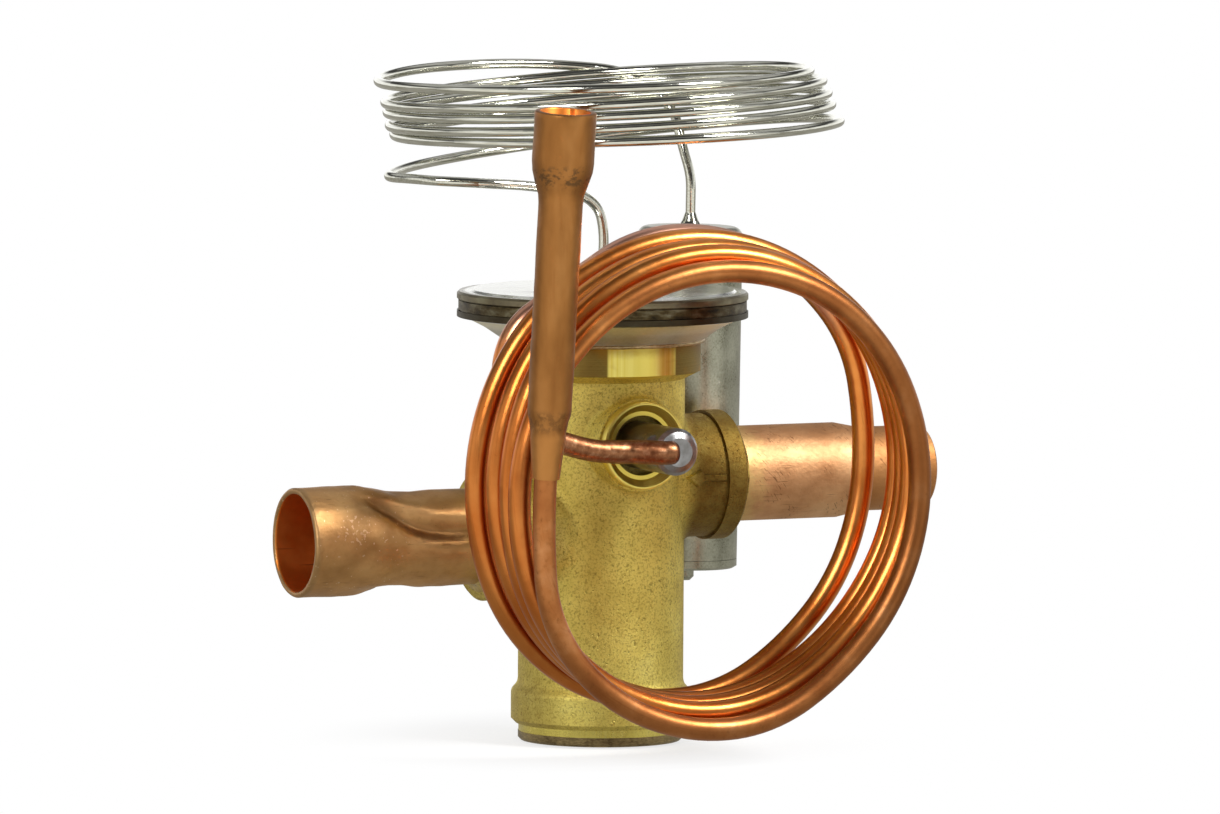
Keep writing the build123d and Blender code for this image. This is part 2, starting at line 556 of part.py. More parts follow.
# ================================================================== mechanism
with BuildPart() as thrust_pad:
    bevel_w, bevel_h = PAD_BEVEL
    turned([
        (0, PAD_BOTTOM), (PAD_R - bevel_w, PAD_BOTTOM), (PAD_R, PAD_BOTTOM + bevel_h),
        (PAD_R, PAD_TOP), (0, PAD_TOP),
    ])
    with Locations((0, 0, PAD_BOTTOM - PAD_HUB_DROP)):
        Cylinder(PAD_HUB_R, PAD_HUB_DROP + bevel_h / 2, align=BASE)
        Cylinder(ROD_R, PAD_HUB_DROP + ROD_IN_PAD + TUBE_END_GAP, align=BASE, mode=Mode.SUBTRACT)
    with Locations((0, 0, PAD_BOTTOM)):
        with PolarLocations(PAD_HOLE_REACH, 4, start_angle=45):
            Cylinder(PAD_HOLE_R, 3 * PAD_T, mode=Mode.SUBTRACT)
place(thrust_pad.part, "thrust_pad")

with BuildPart() as push_rod:
    tip_r, rod_top = ROD_R - ROD_TIP_STEP, PAD_BOTTOM + ROD_IN_PAD
    step_low, step_high = ROD_TIP_TOP
    turned([
        (0, CONE_TOP), (tip_r, CONE_TOP), (tip_r, SEAT_TOP + step_low), (ROD_R, SEAT_TOP + step_high),
        (ROD_R, rod_top - ROD_EDGE), (ROD_R - ROD_EDGE, rod_top), (0, rod_top),
    ])
place(push_rod.part, "push_rod")

with BuildPart() as rod_guide:
    crown_w, crown_h = GUIDE_CROWN
    guide_bore_r, guide_top = ROD_R + SLIDE_GAP, PAD_BORE_BOTTOM + crown_h
    turned([
        (guide_bore_r, SEAL_TOP), (ROD_R + SEAL_W, SEAL_TOP), (ROD_R + SEAL_W, GUIDE_BOTTOM),
        (GUIDE_R, GUIDE_BOTTOM), (GUIDE_R, PAD_BORE_BOTTOM), (GUIDE_R - crown_w, guide_top),
        (guide_bore_r, guide_top),
    ])
place(rod_guide.part, "rod_guide")

with BuildPart() as rod_seal:
    turned_ring(SEAL_BOTTOM, SEAL_TOP, ROD_R + SEAL_GAP, ROD_R + SEAL_W)
place(rod_seal.part, "rod_seal")

with BuildPart() as seal_washer:
    turned_ring(GUIDE_BOTTOM, SEAL_BOTTOM, ROD_R + 2 * SLIDE_GAP, ROD_R + SEAL_W)
place(seal_washer.part, "seal_washer")

with BuildPart() as orifice_seat:
    lead_w, lead_h = ORIFICE_LEAD
    face_w, face_h = ORIFICE_FACE
    turned([
        (ORIFICE_R + face_w, SEAT_BOTTOM), (SEAT_R, SEAT_BOTTOM), (SEAT_R, SEAT_TOP),
        (ORIFICE_R + lead_w, SEAT_TOP), (ORIFICE_R, SEAT_TOP - lead_h), (ORIFICE_R, SEAT_BOTTOM + face_h),
    ])
place(orifice_seat.part, "orifice_seat")

with BuildPart() as valve_cone:
    turned([
        (0, CONE_TOP - CONE_SHANK_END), (CONE_SHANK_R, CONE_TOP - CONE_SHANK_END), (CONE_SHANK_R, CUP_TOP),
        (CONE_R, CUP_TOP), (CONE_R, CONE_TOP - CONE_NOSE_H), (CONE_NOSE_R, CONE_TOP), (0, CONE_TOP),
    ])
place(valve_cone.part, "valve_cone")

with BuildPart() as spring_cup:
    turned([
        (0, CUP_FLOOR), (CUP_BOSS_R, CUP_FLOOR), (CUP_BOSS_R, CUP_FLOOR + CUP_BOSS_H),
        (CUP_R, CUP_FLOOR + CUP_BOSS_H), (CUP_R, CUP_TOP), (CONE_SHANK_R, CUP_TOP),
        (CONE_SHANK_R, CONE_TOP - CONE_SHANK_END), (0, CONE_TOP - CONE_SHANK_END),
    ])
place(spring_cup.part, "spring_cup")

with BuildPart() as superheat_spring:
    low_z = SPRING_SEAT_TOP + SPRING_WIRE_R
    high_z = CUP_FLOOR + CUP_BOSS_H - SPRING_WIRE_R - TOUCH_GAP
    spring_steps = SPRING_TURNS * POINTS_PER_TURN
    rise = (high_z - low_z) / spring_steps
    coil = []
    for i in range(spring_steps + 1):
        a = math.radians(POINT_STEP * i)
        coil.append((SPRING_R * math.cos(a), SPRING_R * math.sin(a), low_z + rise * i))
    slope = rise / (SPRING_R * math.radians(POINT_STEP))
    with BuildLine() as spring_route:
        pipe_route(coil, (0, 1, slope), (0, 1, slope))
    with BuildSketch(Plane(origin=spring_route.line @ 0, z_dir=spring_route.line % 0)):
        Circle(SPRING_WIRE_R)
    sweep(path=spring_route.line)
place(superheat_spring.part, "superheat_spring")

with BuildPart() as spring_seat:
    post_top = SPRING_SEAT_TOP + SPRING_POST_H
    turned([
        (0, SPRING_SEAT_BOTTOM), (SPRING_SEAT_R, SPRING_SEAT_BOTTOM),
        (SPRING_SEAT_R, SPRING_SEAT_TOP - SPRING_SEAT_EDGE),
        (SPRING_SEAT_R - SPRING_SEAT_EDGE, SPRING_SEAT_TOP), (CUP_BOSS_R, SPRING_SEAT_TOP),
        (CUP_BOSS_R, post_top - SPRING_POST_EDGE), (CUP_BOSS_R - SPRING_POST_EDGE, post_top), (0, post_top),
    ])
    with Locations((0, 0, SPRING_SEAT_BOTTOM)):
        Box(*KEY_SLOT, mode=Mode.SUBTRACT)
place(spring_seat.part, "spring_seat")

with BuildPart() as bottom_plug:
    turned([
        (0, BASE_T), (PLUG_R, BASE_T), (PLUG_R, PLUG_TOP - GROOVE_LOW),
        (PLUG_R - GROOVE_CUT, PLUG_TOP - GROOVE_LOW), (PLUG_R - GROOVE_CUT, PLUG_TOP - GROOVE_HIGH),
        (PLUG_R, PLUG_TOP - GROOVE_HIGH), (PLUG_R, PLUG_TOP), (0, PLUG_TOP),
    ])
place(bottom_plug.part, "bottom_plug")

with BuildPart() as plug_seal:
    turned_ring(PLUG_TOP - GROOVE_LOW, PLUG_TOP - GROOVE_HIGH, PLUG_R - GROOVE_CUT, PLUG_R)
place(plug_seal.part, "plug_seal")

# ================================================================== bulb
bulb_place = Pos(BULB_X, BULB_Y, (BULB_TOP + BULB_BOTTOM) / 2) * Rot(0, BULB_LEAN, 0)
half = (BULB_TOP - BULB_BOTTOM) / 2
crown = half + BULB_CROWN
bulb_in_r = BULB_R - BULB_WALL

with BuildPart() as bulb_shell:
    with BuildSketch(Plane.XZ) as bulb_profile:
        with BuildLine():
            Polyline(
                (CAP_HOLE_R, crown), (CAP_HOLE_R, half - BULB_WALL),
                (bulb_in_r, half - BULB_WALL - BULB_SHOULDER), (bulb_in_r, BULB_CAP_T - half),
                (BULB_R, BULB_CAP_T - half), (BULB_R, half - BULB_SHOULDER),
            )
            RadiusArc((BULB_R, half - BULB_SHOULDER), (BULB_R - BULB_SHOULDER, half), -BULB_SHOULDER)
            Line((BULB_R - BULB_SHOULDER, half), (CAP_HOLE_R, crown))
        make_face()
    revolve(bulb_profile.sketch, axis=Axis.Z)
place(bulb_place * bulb_shell.part, "bulb_shell")

with BuildPart() as bulb_end_cap:
    edge_w, edge_h = BULB_CAP_EDGE
    seam, plug_end = BULB_CAP_T - half - BULB_SEAM, BULB_CAP_T - half + BULB_PLUG_LEN
    turned([
        (0, -half), (BULB_R - edge_w, -half), (BULB_R, edge_h - half), (BULB_R, seam),
        (bulb_in_r - SOLDER_GAP, seam), (bulb_in_r - SOLDER_GAP, plug_end), (bulb_in_r - BULB_WALL, plug_end),
        (bulb_in_r - BULB_WALL, BULB_WALL - half), (0, BULB_WALL - half),
    ])
place(bulb_place * bulb_end_cap.part, "bulb_end_cap")

with BuildPart() as bulb_nub:
    tip = -half - NUB_L
    turned([(0, tip), (NUB_R - NUB_EDGE, tip), (NUB_R, tip + NUB_EDGE), (NUB_R, -half), (0, -half)])
place(bulb_place * bulb_nub.part, "bulb_nub")

with BuildPart() as bulb_ferrule:
    solder = [(r, crown + h) for r, h in BULB_SOLDER]
    turned([(CAP_HOLE_R, crown), *solder, (CAP_HOLE_R, crown + BULB_SOLDER_TOP)])
place(bulb_place * bulb_ferrule.part, "bulb_ferrule")

# ================================================================== capillary
turn_a = math.radians(CAP_TURN)


def plan(u, v, z):
    """A point of the capillary: u across and v deep in the coil's own heading."""
    return (u * math.cos(turn_a) - v * math.sin(turn_a), u * math.sin(turn_a) + v * math.cos(turn_a), z)


lean = math.tan(math.radians(BULB_LEAN))
bulb_top_x = BULB_X + lean * half
bulb_v = -bulb_top_x * math.sin(turn_a) + BULB_Y * math.cos(turn_a)
cap_foot = plan(0, 0, HEAD_TOP - CAP_SINK)
cap_points = [plan(0, 0, HEAD_TOP + CAP_STAND), *(plan(*point) for point in CAP_RISE)]
for i, ((w0, z0), (w1, z1)) in enumerate(zip(CAP_HALVES, CAP_HALVES[1:])):
    for share in (0.0, 0.25, 0.5, 0.75):
        depth = CAP_DEPTH * math.sin(math.pi * share) * (1 if i % 2 == 0 else -1)
        cap_points.append(plan(half_wave(w0, w1, share), depth, half_wave(z0, z1, share)))
w_last, z_last = CAP_HALVES[-1]
cap_points += [plan(w_last, 0, z_last), *(plan(*point) for point in CAP_OVER)]
cap_points += [plan(across, bulb_v + deep, height) for across, deep, height in CAP_DROP]
bulb_axis = Vector(lean, 0, 1).normalized()
bulb_mouth = Vector(BULB_X, BULB_Y, (BULB_TOP + BULB_BOTTOM) / 2) + bulb_axis * half
cap_points.append(tuple(bulb_mouth + bulb_axis * CAP_BULB_STAND))
cap_end = bulb_mouth - bulb_axis * CAP_SINK
with BuildPart() as capillary_tube:
    with BuildLine() as cap_route:
        Line(cap_foot, cap_points[0])
        pipe_route(cap_points, (0, 0, 1), bulb_axis * -1)
        Line(cap_points[-1], tuple(cap_end))
    with BuildSketch(Plane(origin=cap_route.line @ 0, z_dir=cap_route.line % 0)):
        Circle(CAP_R)
    sweep(path=cap_route.line)
place(capillary_tube.part, "capillary_tube")

# ================================================================== equalizer line
with BuildPart() as equalizer_nipple:
    with BuildSketch(Plane.XZ):
        with BuildLine():
            dome = [(NIPPLE_R - inside, NIPPLE_END - short) for inside, short in NIPPLE_DOME]
            blind = NIPPLE_END - NIPPLE_CAP_T
            Polyline(
                (NIPPLE_BORE_R, EQ_POCKET_FLOOR), (NIPPLE_R, EQ_POCKET_FLOOR), *dome, (0, NIPPLE_END),
                (0, blind), (NIPPLE_BORE_R, blind), close=True,
            )
        make_face()
    revolve(axis=Axis.Z)
    with Locations(Plane(origin=(0, 0, EQ_ENTRY_Y), z_dir=(-1, 0, 0))):
        Cylinder(EQ_TUBE_R + SOLDER_GAP, NIPPLE_R + OVERCUT, align=BASE, mode=Mode.SUBTRACT)
nipple_place = Pos(0, 0, EQ_Z) * Rot(90, 0, 0)
place(nipple_place * equalizer_nipple.part, "equalizer_nipple")

with BuildPart() as equalizer_braze:
    reach = math.sqrt(NIPPLE_R ** 2 - EQ_TUBE_R ** 2) - EQ_BRAZE_SINK
    cone = [(EQ_TUBE_R + width, reach + past) for width, past in EQ_BRAZE]
    turned([(EQ_TUBE_R, reach), *cone, (EQ_TUBE_R, reach + EQ_BRAZE_END)])
braze_place = Pos(0, -EQ_ENTRY_Y, EQ_Z) * Rot(0, -90, 0)
braze_ring = braze_place * equalizer_braze.part - nipple_place * Pos(0, 0, EQ_POCKET_FLOOR) * Cylinder(
    NIPPLE_R, NIPPLE_END - EQ_POCKET_FLOOR, align=BASE)
place(braze_ring, "equalizer_braze")

def coil_y(turns):
    return -(COIL_START_Y + COIL_PITCH * turns)


foot = Vector(RED_FOOT_X, coil_y(len(COIL_REACHES)) - RED_FOOT_OUT, RED_FOOT_Z)
head = foot + Vector(*RED_LEAN)
red_dir = (head - foot).normalized()
line_points = [(x, -EQ_ENTRY_Y - away, EQ_Z + up) for x, away, up in LEAD]
entry = (-NIPPLE_BORE_R, -EQ_ENTRY_Y, EQ_Z)
for n, row in enumerate(COIL_REACHES):
    for j, r in enumerate(row):
        if r is None:
            continue
        a = math.radians(POINT_STEP * j - 90)
        y = coil_y(n + j / POINTS_PER_TURN)
        line_points.append((COIL_X + r * math.sin(a), y, COIL_Z + r * math.cos(a)))
line_points.append(tuple(foot - red_dir * LINE_STRAIGHT))
with BuildPart() as equalizer_tube:
    with BuildLine() as line_route:
        Line(entry, line_points[0])
        pipe_route(line_points, (-1, 0, 0), red_dir)
        Line(line_points[-1], tuple(foot + red_dir * RED_STOP))
    with BuildSketch(Plane(origin=line_route.line @ 0, z_dir=line_route.line % 0)):
        Circle(EQ_TUBE_R)
    sweep(path=line_route.line)
place(equalizer_tube.part, "equalizer_tube")

with BuildPart() as equalizer_reducer:
    length = (head - foot).length
    line_hole_r = EQ_TUBE_R + SOLDER_GAP
    turned([
        (line_hole_r, 0), *RED_SWELL, (RED_NECK_R, RED_SHOULDER_HIGH), (RED_NECK_R, RED_TAPER_LOW),
        (RED_SOCKET_OD_R, RED_TAPER_HIGH), (RED_SOCKET_OD_R, length - RED_END_EDGE),
        (RED_SOCKET_OD_R - RED_END_EDGE, length), (RED_SOCKET_R, length),
        (RED_SOCKET_R, length - RED_BORE_LEN), (RED_NECK_R - RED_WALL, RED_TAPER_LOW),
        (RED_NECK_R - RED_WALL, RED_SHOULDER_HIGH), (line_hole_r, RED_BORE_OPEN),
    ])
red_place = Plane(origin=foot, z_dir=red_dir)
place(red_place.location * equalizer_reducer.part, "equalizer_reducer")
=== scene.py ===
import json
import math

import bpy
from mathutils import Matrix, Vector, noise


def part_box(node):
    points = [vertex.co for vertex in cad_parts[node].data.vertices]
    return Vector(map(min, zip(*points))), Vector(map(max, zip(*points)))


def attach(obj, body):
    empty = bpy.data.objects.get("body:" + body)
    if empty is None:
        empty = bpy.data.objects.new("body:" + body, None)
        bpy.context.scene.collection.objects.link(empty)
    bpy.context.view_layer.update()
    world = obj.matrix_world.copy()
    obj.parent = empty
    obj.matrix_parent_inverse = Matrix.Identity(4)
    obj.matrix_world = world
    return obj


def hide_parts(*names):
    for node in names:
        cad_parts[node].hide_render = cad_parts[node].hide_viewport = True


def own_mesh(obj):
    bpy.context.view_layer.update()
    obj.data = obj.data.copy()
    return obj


bl_info = {
    "name": "Expansion valve dresser",
    "version": (1, 0, 0),
    "blender": (4, 5, 0),
    "location": "View3D > Sidebar > Valve",
    "description": "Gives a brass expansion valve its formed tubes, brazing, finishes and studio",
    "category": "Object",
}

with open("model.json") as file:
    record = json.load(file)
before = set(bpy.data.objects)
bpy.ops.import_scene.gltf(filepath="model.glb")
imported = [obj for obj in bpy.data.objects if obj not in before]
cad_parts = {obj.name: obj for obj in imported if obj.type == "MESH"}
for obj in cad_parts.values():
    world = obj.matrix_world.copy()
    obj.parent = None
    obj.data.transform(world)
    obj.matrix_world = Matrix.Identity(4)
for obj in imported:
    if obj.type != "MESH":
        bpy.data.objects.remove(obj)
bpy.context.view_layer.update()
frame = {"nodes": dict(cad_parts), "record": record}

MM = 0.001
VALVE_BODY = "valve"  # the body that every fixed piece rides on
NODES = frame["nodes"]
MOUNTS = {mount["name"]: mount for mount in frame["record"]["mounts"]}

# places that the finishes and steps follow, in millimetres
FACE_Y = -12.0  # turned face of the equalizer boss
THROAT_R = 4.0  # bore behind that face
LIP_Z = 2.2  # top of the bright lip under the foot
FOOT_Z = 6.5  # top of the turned foot
COLLAR_Z = 48.85  # bottom of the turned collar
COLLAR_TOP_Z = 52.4  # where heat from the weld browned the collar
BOSS_R, BOSS_Z = 8.15, 34.5  # inlet boss
HEAD_LOW_Z, HEAD_TOP_Z = 56.9, 59.25  # under and upper face of the head's rim
COIL_X, COIL_Z, COIL_R = 0.5, 37.0, 30.0  # middle and turns of the copper coil
SWELL_Z = 77.0  # where the reducer swells to its socket
SLEEVE_FOOT_Z = 45.0  # where the reducer's foot ends


def corner(node, axis, high):
    """A face of a node's box, in millimetres."""
    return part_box(node)[1 if high else 0][axis] / MM


def middle(node, axis):
    """The middle of a node's box, in millimetres."""
    return (corner(node, axis, False) + corner(node, axis, True)) / 2


# ---------------------------------------------------------------- colours
def tone(red, green, blue):
    """A colour given as a paint chip's 0-255 values, as the linear colour that shaders use."""
    def linear(value):
        value /= 255
        return value / 12.92 if value <= 0.04045 else ((value + 0.055) / 1.055) ** 2.4
    return (linear(red), linear(green), linear(blue), 1.0)


# ---------------------------------------------------------------- shader maths
def sum_of(operation, swapped=False):
    """A method that joins a socket with a number or another socket in one maths node."""
    def method(self, other):
        pair = (other, self) if swapped else (self, other)
        return self.finish.node(
            "Math", {"operation": operation}, dict(enumerate(pair)))
    return method


class Sock:
    """A shader socket that takes part in Python sums."""

    def __init__(self, finish, socket):
        self.finish = finish
        self.socket = socket

    def __abs__(self):
        return self.finish.node("Math", {"operation": "ABSOLUTE"}, {0: self})

    __add__, __radd__ = sum_of("ADD"), sum_of("ADD", True)
    __sub__, __rsub__ = sum_of("SUBTRACT"), sum_of("SUBTRACT", True)
    __mul__, __rmul__ = sum_of("MULTIPLY"), sum_of("MULTIPLY", True)
    __pow__ = sum_of("POWER")
    most = sum_of("MAXIMUM")
    angle = sum_of("ARCTAN2")  # the heading of the point (other, self), in radians


class Finish:
    """A material and the few node recipes that its look is made of."""

    def __init__(self, name, owner=None):
        self.material = owner or bpy.data.materials.new(name)
        self.material.use_nodes = True
        self.tree = self.material.node_tree
        self.tree.nodes.clear()

    def node(self, kind, settings=None, inputs=None, output=0):
        """Adds a node with its settings and its inputs, each a value or a socket."""
        made = self.tree.nodes.new("ShaderNode" + kind)
        for key, value in (settings or {}).items():
            if key == "stops":
                ramp = made.color_ramp
                while len(ramp.elements) < len(value):
                    ramp.elements.new(0.5)
                for element, (place, colour) in zip(ramp.elements, value):
                    element.position = place
                    element.color = colour
            else:
                setattr(made, key, value)
        for key, value in (inputs or {}).items():
            if isinstance(value, Sock):
                self.tree.links.new(value.socket, made.inputs[key])
            else:
                made.inputs[key].default_value = value
        return Sock(self, made.outputs[output]) if made.outputs else None

    def place(self):
        """The point on the object, in millimetres."""
        spot = self.node("TexCoord", output="Object")
        return self.node("VectorMath", {"operation": "SCALE"}, {0: spot, "Scale": 1 / MM})

    def split(self, vector):
        """The three parts of a vector."""
        parts = self.node("SeparateXYZ", None, {0: vector}).socket.node
        return [Sock(self, parts.outputs[i]) for i in range(3)]

    def join(self, x, y, z):
        """A vector from its three parts."""
        return self.node("CombineXYZ", None, {0: x, 1: y, 2: z})

    def grain(self, vector, size, stretch=(1, 1, 1), detail=3.0, rough=0.55):
        """Noise from 0 to 1 whose specks are about size across, times stretch."""
        scale = tuple(1 / (size * s) for s in stretch)
        moved = self.node("VectorMath", {"operation": "MULTIPLY"}, {0: vector, 1: scale})
        return self.node("TexNoise", None, {
            "Vector": moved, "Scale": 1.0, "Detail": detail, "Roughness": rough,
            "Distortion": 0.0})

    def ray(self, kind):
        """1 for a ray of this kind, 0 for others."""
        return self.node("LightPath", output=f"Is {kind} Ray")

    def level(self, value, low, high):
        """0 below low, 1 above high, smooth between."""
        return self.node("MapRange", {"interpolation_type": "SMOOTHSTEP"}, {
            "Value": value, "From Min": low, "From Max": high})

    def below(self, value, low, high):
        """1 below low, 0 above high, smooth between."""
        return 1 - self.level(value, low, high)

    def mix(self, mask, first, second):
        """From one colour to another, each a socket or paint values."""
        first, second = (
            part if isinstance(part, Sock) else tone(*part) for part in (first, second))
        return self.node("Mix", {"data_type": "RGBA"}, {0: mask, 6: first, 7: second}, 2)

    def ramp(self, value, *stops):
        """Colours along a value, from stops of (place, paint values)."""
        stops = [(place, tone(*paint)) for place, paint in stops]
        return self.node("ValToRGB", {"stops": stops}, {0: value})

    def curve(self, value, *stops):
        """A number along a value, from stops of (place, number)."""
        stops = [(place, (number, number, number, 1)) for place, number in stops]
        return self.node("ValToRGB", {"stops": stops}, {0: value})

    def relief(self, height, depth, under=None):
        """Bumps of this depth in millimetres for a height from 0 to 1."""
        inputs = {"Height": height, "Distance": depth * MM, "Strength": 1.0}
        if under is not None:
            inputs["Normal"] = under
        return self.node("Bump", None, inputs)

    def surface(self, colour, rough, normal, metal=1.0):
        """Ends the material in one metal or plastic skin."""
        inputs = {"Base Color": colour, "Roughness": rough, "Normal": normal, "Metallic": metal}
        shade = self.node("BsdfPrincipled", None, inputs)
        self.node("OutputMaterial", None, {"Surface": shade})
        return self.material


def round_x(y, z, centre):
    """Distance from an axis along X at that height, and the heading round it in radians."""
    up = z - centre
    return (y * y + up * up) ** 0.5, up.angle(y)


# ---------------------------------------------------------------- finishes
def begin(name):
    """A new finish, the point on its object in millimetres, and that point's parts."""
    f = Finish(name)
    p = f.place()
    return f, p, f.split(p)


def forged_brass(look):
    """Blasted forging with turned faces on the collar, foot, lip and equalizer boss."""
    f, p, (x, y, z) = begin("forged_brass")
    nipple_up = z - middle("equalizer_nipple", 2)
    boss_up = z - BOSS_Z
    sand = f.grain(p, 0.30, detail=4.0, rough=0.7)
    cloud = f.grain(p, 7.0, detail=3.0)
    stain = f.grain(p, 2.4, detail=5.0, rough=0.65)
    pits = f.level(f.grain(p, 0.5, detail=2.0), 0.62, 0.70)
    lathe = f.grain(f.join(0.0, 0.0, z), 0.12, detail=2.0)
    facing = f.grain(f.join(0.0, y, 0.0), 0.12, detail=2.0)
    from_nipple = (x * x + nipple_up * nipple_up) ** 0.5
    from_boss = (y * y + boss_up * boss_up) ** 0.5
    front = f.below(y, FACE_Y - 0.05, FACE_Y + 0.1)
    collar = f.level(z, COLLAR_Z - 0.1, COLLAR_Z + 0.1)
    foot = f.below(z, FOOT_Z - 0.3, FOOT_Z + 0.3)
    lip = f.below(z, LIP_Z - 0.05, LIP_Z + 0.1)
    # painted shade: the bore wall just behind the equalizer face is darkened
    bore_painted_shade = f.below(from_nipple, THROAT_R - 0.1, THROAT_R) * f.below(y, -9.6, -9.4)
    base = f.ramp(cloud, (0.32, look.brass_dark), (0.55, look.brass), (0.76, look.brass_light))
    base = f.mix(f.level(sand, 0.48, 0.62) * 0.55, base, (164, 138, 64))
    base = f.mix(f.level(stain, 0.56, 0.74) * 0.25, base, (176, 150, 70))
    base = f.mix(pits * 0.42, base, (120, 100, 46))
    # painted shade: the inlet side round its boss is darkened brown, mottled by the stain noise
    inlet_painted_shade = f.level(x, 8.0, 11.0) * (1 - f.level(from_boss, 9.0, 14.0) * 0.5)
    base = f.mix(inlet_painted_shade * (0.65 + stain * 0.4), base, (108, 76, 28))
    # painted shade: the outlet side of the forging is darkened, mottled by the stain noise
    base = f.mix(f.below(x, -12.0, -8.0) * (0.2 + stain * 0.5), base, (128, 98, 42))
    band = f.ramp(lathe, (0.3, (122, 100, 48)), (0.7, (146, 124, 64)))
    base = f.mix(collar * 0.95, base, band)
    gold = f.ramp(facing, (0.3, (236, 214, 92)), (0.7, (252, 238, 138)))
    base = f.mix(front.most(lip * 0.6) * 0.9, base, gold)
    heat = collar * f.level(z + stain * 1.2, COLLAR_TOP_Z - 0.8, COLLAR_TOP_Z + 0.8)
    base = f.mix(heat * 0.6, base, (128, 88, 30))
    amber = collar * f.level(f.grain(p, 5.0, (1, 1, 0.6), detail=2.0), 0.54, 0.68)
    base = f.mix(amber * 0.35, base, (172, 122, 34))
    # painted shade inside the equalizer bore
    base = f.mix(bore_painted_shade * 0.7, base, (96, 82, 48))
    rough = 0.60 - front * 0.20 - lip * 0.24 - collar * 0.10 - foot * 0.08 + (cloud - 0.5) * 0.08
    grit = f.relief(sand - pits * 0.8, 0.075)
    skin = f.relief(f.grain(p, 1.8, detail=3.0), 0.07, grit)
    lines = f.relief(lathe * collar.most(foot) + facing * front * 0.7, 0.016)
    turned_face = front.most(lip).most(collar).most(foot * 0.4)
    normal = f.node("Mix", {"data_type": "VECTOR"}, {0: turned_face, 4: skin, 5: lines}, 1)
    return f.surface(base, rough, normal)


def copper_tube(name, light, mid, dark, axis_z, rough):
    """Drawn copper along X, softly mottled by heat and marked by handling."""
    f, p, (x, y, z) = begin(name)
    cloud = f.grain(p, 5.0, (1.4, 1, 1), detail=4.0, rough=0.5)
    mottle = f.grain(p, 1.0, detail=4.0, rough=0.6)
    fine = f.grain(p, 0.26, detail=3.0, rough=0.6)
    radius, heading = round_x(y, z, axis_z)
    drawn = f.grain(f.join(x * 0.06, heading * 6.0, radius), 0.20, detail=3.0)
    specks = f.level(f.grain(p, 0.45, detail=2.0), 0.70, 0.76)
    rubbed = f.level(f.grain(p, 2.6, (2.0, 1, 1), detail=2.0), 0.52, 0.62)
    scratch = f.level(drawn, 0.60, 0.68) * rubbed
    base = f.ramp(cloud, (0.30, dark), (0.52, mid), (0.76, light))
    base = f.mix(f.level(mottle, 0.54, 0.72) * 0.22, base, dark)
    base = f.mix(scratch * 0.45 + specks * 0.4, base, (92, 60, 32))
    rough_now = rough + (mottle - 0.5) * 0.20 + (cloud - 0.5) * 0.08
    hammer = f.grain(p, 0.62, detail=2.0)
    under = f.relief(hammer, 0.05, f.relief(f.grain(p, 1.9, detail=2.0), 0.06))
    normal = f.relief(fine * 0.7 + drawn * 0.3, 0.014, under)
    return f, p, (x, y, z), base, rough_now, normal


# painted shade along the crimp's crease, as (share of the way along the span of X below, share of
# half a turn from the top)
CREASE_SHADE_LINE = ((0.0, 0.20), (0.15, 0.28), (0.33, 0.37), (0.5, 0.44), (0.66, 0.475), (1.0, 0.485))
CREASE_SHADE_X = (-37.0, -20.0)
# the patch of painted highlight sparkles on the socket: its place along X and round the tube
SPARKLE_X, SPARKLE_ROUND, SPARKLE_R = -38.6, 19.9, 6.9


def outlet_copper():
    """Browned and hammered, with painted highlight sparkles on the socket and painted shade along
    the crimp.
    """
    axis_z = middle("outlet_braze", 2)
    f, p, (x, y, z), base, rough, normal = copper_tube(
        "outlet_copper", (218, 176, 120), (198, 152, 98), (164, 120, 72), axis_z, 0.47)
    heading = round_x(y, z, axis_z)[1]
    off_x, off_round = x - SPARKLE_X, heading * SPARKLE_R - SPARKLE_ROUND
    sparkle_patch = f.below((off_x * off_x + off_round * off_round) ** 0.5, 1.2, 3.2)
    # painted highlights: small bright sparkles, thickest in the patch on the socket
    painted_sparkles = f.level(f.grain(p, 0.45, detail=1.0) + sparkle_patch * 0.10, 0.70, 0.74)
    painted_sparkles = painted_sparkles * f.below(x, -32.0, -29.0)
    groove = f.curve(f.level(x, *CREASE_SHADE_X), *CREASE_SHADE_LINE)
    off = abs(heading - math.pi / 2 - groove * math.pi) * 6.5
    # painted shade along the crimp's crease
    crease_shade = f.below(off, 0.3, 2.0) * f.level(x, -37.5, -32.0) * 0.75
    base = f.mix(crease_shade, base, (84, 58, 34))
    rim = f.below(x, -44.2, -43.2)
    base = f.mix(f.level(x, -23.5, -19.0) * 0.5, base, (170, 138, 66))
    base = f.mix(rim * 0.5, base, (150, 122, 86))
    # painted highlight sparkles
    base = f.mix(painted_sparkles * 0.5, base, (244, 214, 176))
    return f.surface(base, rough - painted_sparkles * 0.1, normal)


def inlet_copper():
    """Paler and pinker, brassy where the flame reached it at either end."""
    axis_z = middle("inlet_braze", 2)
    f, p, (x, y, z), base, rough, normal = copper_tube(
        "inlet_copper", (230, 190, 144), (212, 164, 118), (180, 130, 88), axis_z, 0.60)
    near = f.below(x + f.grain(p, 2.0) * 5.0, 20.5, 24.5)
    base = f.mix(near * 0.6, base, (226, 200, 130))
    base = f.mix(f.level(x, 34.0, 37.0) * 0.7, base, (176, 118, 62))
    # painted shade: the top of the tube is darkened brown
    base = f.mix(f.level(z, 37.0, 41.0) * 0.45, base, (150, 104, 66))
    turned = f.join(x + z * 0.8, y, z - x * 0.8)
    marks = f.level(f.grain(turned, 1.2, (0.18, 1, 1.6), detail=3.0), 0.60, 0.64)
    marks = marks * f.level(f.grain(p, 4.5, detail=2.0), 0.50, 0.56)
    base = f.mix(marks * 0.6, base, (104, 66, 40))
    return f.surface(base, rough, normal)


